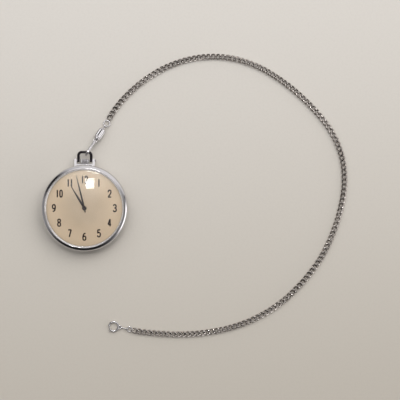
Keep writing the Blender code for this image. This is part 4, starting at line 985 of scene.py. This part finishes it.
class WATCH_OT_crystal(bpy.types.Operator):
    """Make the domed crystal"""

    bl_idname = "pocket_watch.crystal"
    bl_label = "Crystal"

    def execute(self, context):
        """Make the crystal."""
        low, high = low_z("crystal"), high_z("crystal")
        rise, edge, steps = 1.7 * MM, 0.6 * MM, 26
        upper = [(GLASS_RADIUS * i / steps, high - rise * (i / steps) ** 2)
                 for i in range(steps)]
        rim = from_corner(GLASS_RADIUS, high - rise, (-0.07, 0.04), (0, -0.06))
        rim += from_corner(GLASS_RADIUS, low, (0, 0.05), (-0.05, 0))
        inner = GLASS_RADIUS - 0.9 * MM
        lower = [(inner * i / steps, high - edge - rise * (i / steps) ** 2)
                 for i in range(steps, -1, -1)]
        item = turned_piece("crystal_dome", upper + rim + lower, CASE_SIDES)
        put_in_scene(item, "crystal_glass", "crystal_glass", "case", "crystal")
        return {"FINISHED"}


# -------------------------------------------------------------------------- the dial

# Each digit as strokes in a box one unit wide and one high. True marks a rounded stroke.
DIGITS = {
    "0": ((True, ((0.5, 1.0), (0.08, 0.86), (0.0, 0.5), (0.08, 0.14), (0.5, 0.0), (0.92, 0.14),
                  (1.0, 0.5), (0.92, 0.86), (0.5, 1.0))),),
    "1": ((False, ((0.5, 0.0), (0.5, 1.0))),),
    "2": ((True, ((0.0, 0.72), (0.14, 0.93), (0.5, 1.0), (0.88, 0.92), (1.0, 0.74), (0.84, 0.5),
                  (0.3, 0.2), (0.02, 0.0))), (False, ((0.02, 0.0), (1.0, 0.0)))),
    "3": ((True, ((0.02, 0.84), (0.2, 0.97), (0.55, 1.0), (0.9, 0.9), (0.96, 0.73),
                  (0.8, 0.57), (0.42, 0.53))),
          (True, ((0.42, 0.53), (0.84, 0.48), (1.0, 0.28), (0.88, 0.07), (0.5, 0.0),
                  (0.15, 0.04), (0.0, 0.18)))),
    "4": ((False, ((0.62, 1.0), (0.0, 0.26))), (False, ((0.0, 0.26), (1.0, 0.26))),
          (False, ((0.68, 1.0), (0.68, 0.0)))),
    "5": ((False, ((0.95, 1.0), (0.12, 1.0))), (False, ((0.12, 1.0), (0.08, 0.54))),
          (True, ((0.08, 0.54), (0.5, 0.62), (0.92, 0.52), (1.0, 0.3), (0.88, 0.08), (0.5, 0.0),
                  (0.15, 0.05), (0.0, 0.18)))),
    "6": ((True, ((0.86, 0.98), (0.36, 0.88), (0.06, 0.6), (0.0, 0.3), (0.14, 0.06), (0.5, 0.0),
                  (0.88, 0.07), (1.0, 0.3), (0.87, 0.51), (0.5, 0.57), (0.12, 0.47),
                  (0.01, 0.34))),),
    "7": ((False, ((0.0, 1.0), (1.0, 1.0))), (True, ((1.0, 1.0), (0.7, 0.6), (0.36, 0.0)))),
    "8": ((True, ((0.5, 1.0), (0.14, 0.93), (0.07, 0.76), (0.22, 0.59), (0.5, 0.53), (0.86, 0.44),
                  (1.0, 0.26), (0.86, 0.06), (0.5, 0.0), (0.14, 0.06), (0.0, 0.26), (0.14, 0.44),
                  (0.5, 0.53), (0.78, 0.59), (0.93, 0.76), (0.86, 0.93), (0.5, 1.0))),),
}
DIGITS["9"] = tuple((smooth, tuple((1 - x, 1 - y) for x, y in stroke))
                    for smooth, stroke in DIGITS["6"])


# How far each number stands outside its ring, in millimetres.
RING_SHIFTS = {3: 0.6, 6: -0.4, 9: 0.6, 12: -0.4}
RING_SHIFT = -0.1
# A stroke of print is this flat, as a share of its width.
PRINT_FLATNESS = 0.09


def draw_digit(mesh_data, digit, left, bottom, width, height, level):
    """Add a digit's flat strokes to the dial's print."""
    for rounded, stroke in DIGITS[digit]:
        points = [Vector((left + x * width, bottom + y * height, level)) for x, y in stroke]
        if rounded:
            points = smooth_profile(points, 4)
        else:
            points = [points[0].lerp(points[-1], i / 3) for i in range(4)]
        tube(mesh_data, points, sizes().numeral_stroke / 2, sides=10, flat=PRINT_FLATNESS)


class WATCH_OT_dial(bpy.types.Operator):
    """Make the satin dial and print its hours"""

    bl_idname = "pocket_watch.dial"
    bl_label = "Dial"

    def execute(self, context):
        """Make the dial."""
        low, high = low_z("dial"), high_z("dial")
        hole = 1.0 * MM
        face = smooth_profile(((hole, high), (10 * MM, high), (16.2 * MM, high),
                               (18.6 * MM, high - 0.08 * MM), (DIAL_RADIUS, high - 0.25 * MM)), 5)
        profile = [(p.x, min(p.y, high)) for p in face] + [(DIAL_RADIUS, low), (hole, low)]
        dial = turned_piece("dial_face", profile, CASE_SIDES)
        put_in_scene(dial, "dial_cream", "dial_cream", "case", "dial")
        self.print_hours(high)
        return {"FINISHED"}

    def print_hours(self, level):
        """Print the numbers 1 to 12, upright."""
        size = sizes()
        height = size.numeral_height - size.numeral_stroke
        wide = size.numeral_width - size.numeral_stroke
        mesh_data = bmesh.new()
        for hour in range(1, 13):
            angle = TURN * hour / 12
            ring = size.numeral_ring + RING_SHIFTS.get(hour, RING_SHIFT) * MM
            x, y = ring * math.sin(angle), ring * math.cos(angle)
            digits = str(hour)
            if len(digits) == 1:
                places = [(0.0, wide)]
            else:
                second = wide * 0.05 if digits == "11" else wide * 0.82
                spread = size.numeral_stroke * 2.2 if digits == "11" else wide * 1.28
                places = [(-spread / 2, wide * 0.05), (spread / 2 + wide * 0.05, second)]
            for digit, (offset, width) in zip(digits, places):
                draw_digit(mesh_data, digit, x + offset - width / 2, y - height / 2, width,
                           height, level)
        print_item = from_bmesh("hour_numerals", mesh_data)
        put_in_scene(print_item, "print_ink", "hand_black", "case")


# ------------------------------------------------------------------------- the hands

SHOWN_HOUR = 10
SHOWN_MINUTES = 57.7
BLADE_SHOULDER = 0.45


def hand_blade(mesh_data, length, tail, width, level, thickness, angle):
    """Add a tapered blade with a raised ridge along its middle."""
    turn = Matrix.Rotation(-angle, 4, "Z")
    stations = ((-tail, 0.55), (0.0, 1.0), (length * 0.5, 0.86), (length * 0.92, 0.34),
                (length, 0.20))
    rows = []
    for along, share in stations:
        half = width * share / 2
        shoulder = level + thickness * BLADE_SHOULDER
        rows.append([mesh_data.verts.new(turn @ Vector(p)) for p in (
            (-half, along, level), (-half, along, shoulder), (0, along, level + thickness),
            (half, along, shoulder), (half, along, level))])
    for one, two in zip(rows, rows[1:]):
        for i in range(5):
            nxt = (i + 1) % 5
            mesh_data.faces.new((one[i], two[i], two[nxt], one[nxt]))
    mesh_data.faces.new(rows[0])
    mesh_data.faces.new(rows[-1][::-1])


class WATCH_OT_hands(bpy.types.Operator):
    """Make the hour and minute hands"""

    bl_idname = "pocket_watch.hands"
    bl_label = "Hands"

    def execute(self, context):
        """Make the hands."""
        width = sizes().hand_width
        for name, node, body, length, tail, share, boss, shown in (
                ("hour_pointer", "hour_hand", "hour", 13.6 * MM, 0.3 * MM, 1.0, 1.15 * MM,
                 SHOWN_HOUR + SHOWN_MINUTES / 60),
                ("minute_pointer", "minute_hand", "hands", 17.3 * MM, 2.3 * MM, 0.84, 0.9 * MM,
                 SHOWN_MINUTES / 5)):
            level, top = low_z(node), high_z(node)
            mesh_data = bmesh.new()
            hand_blade(mesh_data, length, tail, width * share, level, top - level,
                       TURN * shown / 12)
            lathe(mesh_data, [(0, level), (boss, level)]
                  + from_corner(boss, top, (0, -0.05), (-0.06, 0)) + [(0, top + 0.02 * MM)], 40)
            item = from_bmesh(name, mesh_data, BLADE_EDGE)
            put_in_scene(item, "print_ink", "hand_black", body, node)
        top = high_z("minute_hand")
        pin = turned_piece("hand_pin", from_corner(
            0, top, (0, -0.03), (0.34, -0.03), (0.34, 0.05), (0.22, 0.13), (0, 0.15)), 24)
        put_in_scene(pin, "print_ink", "steel", "hands")
        return {"FINISHED"}


# ------------------------------------------------------------- pendant, crown and bow


def raised_outline(name, outline, low, high, rounding):
    """Extrude a flat outline and round its edges."""
    mesh_data = bmesh.new()
    floor = [mesh_data.verts.new((x, y, low)) for x, y in outline]
    roof = [mesh_data.verts.new((x, y, high)) for x, y in outline]
    mesh_data.faces.new(floor[::-1])
    mesh_data.faces.new(roof)
    for i in range(len(outline)):
        nxt = (i + 1) % len(outline)
        mesh_data.faces.new((floor[i], floor[nxt], roof[nxt], roof[i]))
    edges = [edge for edge in mesh_data.edges if edge.calc_face_angle(0.0) > math.radians(50)]
    bmesh.ops.bevel(mesh_data, geom=edges, offset=rounding, segments=4, profile=0.5,
                    affect="EDGES", clamp_overlap=True)
    return from_bmesh(name, mesh_data, BEVELLED_EDGE)


class WATCH_OT_pendant(bpy.types.Operator):
    """Make the pendant with its ears and the bow's two screws"""

    bl_idname = "pocket_watch.pendant"
    bl_label = "Pendant"

    def execute(self, context):
        """Make the pendant."""
        (_, _, low), (half, ear_top, high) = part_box("pendant")
        ear = 1.2 * MM
        seat = MIDDLE_RADIUS + 0.1 * MM
        shoulder = MIDDLE_RADIUS + 0.5 * MM
        spread = math.asin((half - 0.01 * MM) / seat)
        outline = [(x, y) for y, x in arc_points(seat, -spread, spread, 12)]
        bend = ear * 0.5
        right_ear = arc_points(bend, 0, TURN / 2, 8, (half - bend, ear_top - bend))
        outline += [(half, ear_top - bend)] + right_ear[1:]
        outline += [(half - ear, shoulder), (-half + ear, shoulder)]
        outline += [(-x, y) for x, y in right_ear[::-1]]
        item = raised_outline("pendant_block", outline, low, high, 0.46 * MM)
        put_in_scene(item, "chrome", "chrome_case", "case", "pendant")
        pivot = joint_place("bow_swing")
        for side, node in ((-1, "bow_screw_left"), (1, "bow_screw_right")):
            self.screw(side, node, half, pivot)
        return {"FINISHED"}

    def screw(self, side, node, half, pivot):
        """Make one bow screw with a domed head."""
        base, head = half + 0.02 * MM, half + 0.38 * MM
        profile = from_corner(0, 0, (0, 2.7), (0.3, 2.7))
        profile += from_corner(0, base, (0.3, 0), (0.62, 0), (0.65, 0.08), (0.62, 0.2))
        profile += from_corner(0, head, (0.42, -0.03), (0.16, 0), (0, 0))
        stand = Matrix.Translation(pivot) @ Matrix.Rotation(side * QUARTER, 4, "Y")
        item = turned_piece(node + "_bolt", profile, 32, stand)
        put_in_scene(item, "chrome_satin", "steel", "case", node)


class WATCH_OT_crown(bpy.types.Operator):
    """Make the knurled winding crown"""

    bl_idname = "pocket_watch.crown"
    bl_label = "Crown"

    def execute(self, context):
        """Make the crown."""
        (_, start, _), (radius, end, _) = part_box("crown")
        ribs = sizes().crown_ribs
        depth = 0.14 * MM
        body = radius - depth
        start_rib, end_rib = start + 0.35 * MM, end - 0.5 * MM
        rows = [start_rib + (end_rib - start_rib) * i / 5 for i in range(6)]
        bore = 0.75 * MM
        profile = [(bore, start)] + from_corner(body, start, (-0.35, 0), (-0.12, 0.12))
        profile += [(body, y) for y in rows]
        profile += from_corner(body, end, (-0.14, -0.3), (-0.42, -0.12), (-0.9, -0.02))
        profile += [(0.6 * MM, end), (0, end), (0, end - 0.5 * MM), (bore, end - 0.5 * MM)]
        stand = along_y((0, 0, STEM_HEIGHT))
        item = turned_piece("winding_crown", profile, ribs * 8, stand, waves=ribs,
                            wave_height=depth, wave_range=(start_rib, end_rib))
        put_in_scene(item, "chrome_satin", "chrome_case", "crown", "crown")
        return {"FINISHED"}


class WATCH_OT_bow(bpy.types.Operator):
    """Make the stirrup bow"""

    bl_idname = "pocket_watch.bow"
    bl_label = "Bow"

    def execute(self, context):
        """Make the bow."""
        pivot = joint_place("bow_swing")
        wire, half, reach, corner = 0.72 * MM, 3.3 * MM, 4.3 * MM, 1.7 * MM
        side_top = reach - corner
        rise = [(-half, side_top * i / 4) for i in range(4)]
        rise[0] = (-half, -0.17 * MM)
        points = rise + arc_points(corner, TURN / 2, QUARTER, 10, (-half + corner, side_top))
        points += [(0.0, reach)]
        points += arc_points(corner, QUARTER, 0, 10, (half - corner, side_top))
        points += [(-x, y) for x, y in rise[::-1]]
        path = [Vector((x, y, 0)) + pivot for x, y in points]
        mesh_data = bmesh.new()
        radii = [wire * (1.0 - 0.07 * math.sin(math.pi * i / (len(path) - 1)))
                 for i in range(len(path))]
        tube(mesh_data, path, radii, sides=20)
        for side in (-1, 1):
            stand = Matrix.Translation(pivot + Vector((side * half, 0, 0))) @ ONTO_X
            lathe(mesh_data, disc(0.82, 0.66, 0.08, 0.08, 0.42), 32, stand)
        item = from_bmesh("stirrup_bow", mesh_data)
        put_in_scene(item, "bow_metal", "chrome_case", "bow", "bow")
        return {"FINISHED"}


# ------------------------------------------------------------------ clasp and chain end


def clasp_frame():
    """Return the placement whose +X runs along the clasp from the bow."""
    swivel = joint("swivel_turn")
    along = Vector(swivel["axis"]).normalized()
    side = Vector((-along.y, along.x, 0)).normalized()
    up = along.cross(side)
    turn = Matrix((along, side, up)).transposed().to_4x4()
    return Matrix.Translation(Vector(swivel["pos_m"])) @ turn


HOOK_LENGTH = 7.3 * MM
HOOK_HIGH = 1.7 * MM
COLLAR_AT = 8.3 * MM
BARREL_END = COLLAR_AT + 6.4 * MM


class WATCH_OT_clasp(bpy.types.Operator):
    """Make the hook, its gate, the fluted swivel barrel and the jump ring"""

    bl_idname = "pocket_watch.clasp"
    bl_label = "Clasp"

    def execute(self, context):
        """Make the clasp."""
        frame_matrix = clasp_frame()
        self.hook(frame_matrix)
        self.gate(frame_matrix)
        self.swivel(frame_matrix)
        centre = middle("jump_ring")
        local = frame_matrix.inverted() @ centre
        loop = [Vector((local.x + x, local.y + y, local.z)) for x, y in ring_points(1.6 * MM, 40)]
        ring = tube_piece("jump_ring_wire", loop, 0.33 * MM, True, 14, frame_matrix)
        put_in_scene(ring, "chrome", "chrome_case", "swivel", "jump_ring")
        return {"FINISHED"}

    def hook(self, stand):
        """Make the hook's bent wire and its round base."""
        high, wire = HOOK_HIGH, 0.65 * MM
        bend = arc_points(high, math.radians(90), math.radians(245), 14)
        path = [(HOOK_LENGTH + 0.5 * MM, 0.3 * MM), (HOOK_LENGTH - 0.8 * MM, high * 0.75),
                (HOOK_LENGTH * 0.5, high)]
        start = smooth_profile(path + [bend[0]], 4)
        points = [Vector((p[0], 0, p[1])) for p in start[:-1] + bend + [(0.75 * MM, -high)]]
        radii = [wire * min(1.0, 0.72 + 0.5 * (len(points) - i) / len(points))
                 for i in range(len(points))]
        mesh_data = bmesh.new()
        tube(mesh_data, [stand @ p for p in points], radii, sides=18)
        turn = stand @ ONTO_X
        base = from_corner(0, HOOK_LENGTH, (0, 0.25), (0.95, 0.25), (1.15, 0.4))
        base += from_corner(0, COLLAR_AT, (1.15, -0.32), (1.05, -0.2), (0, -0.2))
        lathe(mesh_data, base, 32, turn)
        for side in (-1, 1):
            cheek = Matrix.Translation((HOOK_LENGTH - 0.35 * MM, side * 0.82 * MM,
                                        -0.35 * MM)) @ ONTO_Y
            lathe(mesh_data, disc(0.8, 0.24, 0.08, 0.08), 24, stand @ cheek)
        item = from_bmesh("clasp_hook_body", mesh_data)
        put_in_scene(item, "chrome", "chrome_case", "bow", "clasp_hook")

    def gate(self, stand):
        """Make the sprung gate with its thumb piece."""
        high, wire = HOOK_HIGH, 0.42 * MM
        pivot = Vector((HOOK_LENGTH - 0.35 * MM, 0, -0.55 * MM))
        line = smooth_profile((pivot, Vector((HOOK_LENGTH * 0.62, 0, -high * 0.86)),
                               Vector((1.95 * MM, 0, -high + 0.05 * MM))), 6)
        mesh_data = bmesh.new()
        tube(mesh_data, [stand @ p for p in line], wire, sides=16)
        turn = stand @ Matrix.Translation(pivot) @ ONTO_Y
        lathe(mesh_data, disc(0.58, 0.45, 0.06, 0.07), 24, turn)
        thumb = stand @ Matrix.Translation((HOOK_LENGTH * 0.62, 0, -high - 0.75 * MM))
        lathe(mesh_data, from_corner(0, 0, (0, 0), (0.33, 0.02), (0.44, 0.14), (0.42, 0.6),
                                     (0.3, 0.9), (0, 0.9)), 20, thumb)
        item = from_bmesh("clasp_gate_wire", mesh_data)
        put_in_scene(item, "chrome_satin", "chrome_case", "gate", "clasp_gate")

    def swivel(self, stand):
        """Make the turning barrel with its collar, fluting and eye."""
        turn = stand @ ONTO_X
        radius, collar, depth = 1.75 * MM, 2.0 * MM, 0.10 * MM
        flute_start, flute_end = COLLAR_AT + 1.15 * MM, BARREL_END - 1.0 * MM
        fluted = [(radius - depth, flute_start + (flute_end - flute_start) * i / 8)
                  for i in range(9)]
        bore = 0.6 * MM
        profile = [(bore, COLLAR_AT)]
        profile += from_corner(collar, COLLAR_AT, (-0.08, 0), (0, 0.1), (0, 0.36), (-0.1, 0.46))
        profile += from_corner(0, COLLAR_AT, (1.42, 0.6), (1.42, 0.78))
        profile += from_corner(radius, COLLAR_AT, (-0.05, 0.95)) + fluted
        profile += from_corner(radius, BARREL_END, (-0.03, -0.8), (-0.1, -0.5))
        profile += [(radius * 0.82, BARREL_END - 0.2 * MM), (radius * 0.6, BARREL_END)]
        profile += from_corner(0, BARREL_END, (0.45, 0), (0.42, 0.5), (0, 0.5))
        profile += [(0, COLLAR_AT + 1.0 * MM), (bore, COLLAR_AT + 1.0 * MM)]
        mesh_data = bmesh.new()
        lathe(mesh_data, profile, sizes().barrel_ribs * 8, turn, waves=sizes().barrel_ribs,
              wave_height=depth, wave_range=(flute_start, flute_end))
        eye_at = BARREL_END + 0.25 * MM + 1.28 * MM
        loop = [stand @ Vector((eye_at + x, 0, z)) for x, z in ring_points(0.95 * MM, 28)]
        tube(mesh_data, loop, 0.33 * MM, closed=True, sides=12)
        item = from_bmesh("swivel_barrel_body", mesh_data, FLUTED_EDGE)
        put_in_scene(item, "chrome", "chrome_case", "swivel", "swivel_barrel")


class WATCH_OT_chain_end(bpy.types.Operator):
    """Make the bolt ring with its trigger, the end link and the end ring"""

    bl_idname = "pocket_watch.chain_end"
    bl_label = "Chain End"

    def execute(self, context):
        """Make the chain's far end."""
        centre = joint_place("bolt_draw")
        heading = math.radians(-6)
        stand = Matrix.Translation(centre) @ Matrix.Rotation(heading, 4, "Z")
        radius, wire = 2.4 * MM, 0.5 * MM
        start, end = math.radians(181), math.radians(226)
        body = [Vector((x, y, 0)) for x, y in arc_points(radius, end, start + TURN, 48)]
        mesh_data = bmesh.new()
        tube(mesh_data, [stand @ p for p in body], wire, sides=16)
        eye_at = radius + 0.85 * MM
        eye = [stand @ Vector((eye_at + x, y, 0)) for x, y in ring_points(0.75 * MM, 26)]
        tube(mesh_data, eye, 0.3 * MM, closed=True, sides=12)
        item = from_bmesh("bolt_ring_body", mesh_data)
        put_in_scene(item, "chrome", "chrome_case", "case", "bolt_ring")
        self.trigger(stand, radius, start, end)
        ring_centre = middle("end_ring")
        loop = [Vector((x, y, 0)) + ring_centre for x, y in ring_points(1.2 * MM, 32)]
        ring = tube_piece("chain_end_ring", loop, 0.3 * MM, True, 12)
        put_in_scene(ring, "chrome", "chrome_case", "case", "end_ring")
        self.link(stand @ Vector((eye_at, 0, 0)), ring_centre)
        return {"FINISHED"}

    def trigger(self, stand, radius, start, end):
        """Make the sliding bolt and its thumb stud."""
        tongue = [Vector((x, y, 0)) for x, y in arc_points(radius, start + math.radians(9),
                                                          end + math.radians(20), 14)]
        mesh_data = bmesh.new()
        tube(mesh_data, [stand @ p for p in tongue], 0.24 * MM, sides=12)
        at = end + math.radians(13)
        stud = [stand @ Vector((r * math.cos(at), r * math.sin(at), 0))
                for r in (radius, radius + 0.55 * MM, radius + 0.8 * MM, radius + 1.05 * MM)]
        tube(mesh_data, stud, [0.2 * MM, 0.2 * MM, 0.24 * MM, 0.24 * MM], sides=14)
        item = from_bmesh("bolt_ring_trigger", mesh_data)
        put_in_scene(item, "chrome", "chrome_case", "bolt_slide", "bolt_trigger")

    def link(self, eye, ring_centre):
        """Make the oval link between the bolt ring's eye and the end ring."""
        centre = middle("end_link")
        between = ring_centre - eye
        heading = math.atan2(between.y, between.x)
        turn = Matrix.Translation(centre) @ Matrix.Rotation(heading, 4, "Z")
        half_high = 0.62 * MM
        half = radius_of("end_link") / abs(math.cos(heading))
        straight = half - 0.25 * MM - half_high
        loop = arc_points(half_high, QUARTER, -QUARTER, 12, (straight, 0.0))
        loop += arc_points(half_high, -QUARTER, -3 * QUARTER, 12, (-straight, 0.0))
        item = tube_piece("chain_end_link", [(x, 0, z) for x, z in loop], 0.25 * MM, True, 12,
                          turn)
        put_in_scene(item, "chrome", "chrome_case", "case", "end_link")


# ---------------------------------------------------------------------- the movement

NODE_FINISHES = {
    "mainplate": "nickel", "barrel_bridge": "nickel", "train_bridge": "nickel",
    "balance_cock": "nickel", "movement_ring": "steel", "stem": "steel",
    "winding_pinion": "steel", "crown_wheel": "steel", "ratchet_wheel": "steel",
    "barrel_arbor": "steel", "click": "steel", "mainspring": "steel", "pallet_fork": "steel",
    "escape_wheel": "steel", "cannon_pinion": "steel", "clasp_gate_pin": "steel",
    "hairspring": "blued_steel",
}


class WATCH_OT_movement(bpy.types.Operator):
    """Finish the plates, wheels, screws and springs of the movement"""

    bl_idname = "pocket_watch.movement"
    bl_label = "Movement"

    def execute(self, context):
        """Give every inner part its finish."""
        for name, item in frame["nodes"].items():
            if item.hide_render:
                continue
            fallback = "blued_steel" if name.endswith("_screw") else "brass"
            finish = finish_of(NODE_FINISHES.get(name, fallback))
            item.data.materials.clear()
            item.data.materials.append(finish)
        return {"FINISHED"}


# ------------------------------------------------------------------------- the add-on


class WATCH_PT_panel(bpy.types.Panel):
    """Lists the watch's pieces in the sidebar"""

    bl_idname = "WATCH_PT_panel"
    bl_label = "Pocket Watch"
    bl_space_type = "VIEW_3D"
    bl_region_type = "UI"
    bl_category = "Pocket Watch"

    def draw(self, context):
        """Draw the panel."""
        column = self.layout.column()
        for operator in OPERATORS:
            column.operator(operator.bl_idname)
        for group in ("pocket_watch_sizes", "pocket_watch_chain", "pocket_watch_colours",
                      "pocket_watch_stage"):
            settings = getattr(context.scene, group)
            for name in settings.bl_rna.properties.keys():
                if name not in ("rna_type", "name"):
                    column.prop(settings, name)


OPERATORS = (WATCH_OT_stage, WATCH_OT_chain, WATCH_OT_chain_end, WATCH_OT_case,
             WATCH_OT_crystal, WATCH_OT_dial, WATCH_OT_hands, WATCH_OT_pendant,
             WATCH_OT_crown, WATCH_OT_bow, WATCH_OT_clasp, WATCH_OT_movement)
GROUPS = {"pocket_watch_sizes": WatchSizes, "pocket_watch_chain": ChainSizes,
          "pocket_watch_colours": WatchColours, "pocket_watch_stage": StageSettings}


def register():
    """Register the settings, the operators and the panel."""
    for name, group in GROUPS.items():
        bpy.utils.register_class(group)
        setattr(bpy.types.Scene, name, PointerProperty(type=group))
    for operator in OPERATORS:
        bpy.utils.register_class(operator)
    bpy.utils.register_class(WATCH_PT_panel)


def unregister():
    """Take everything away again."""
    bpy.utils.unregister_class(WATCH_PT_panel)
    for operator in reversed(OPERATORS):
        bpy.utils.unregister_class(operator)
    for name, group in GROUPS.items():
        delattr(bpy.types.Scene, name)
        bpy.utils.unregister_class(group)


def main():
    """Make the whole scene."""
    register()
    for operator in OPERATORS:
        _, name = operator.bl_idname.split(".")
        getattr(bpy.ops.pocket_watch, name)()
    declare_chain()


if __name__ == "__main__":
    main()
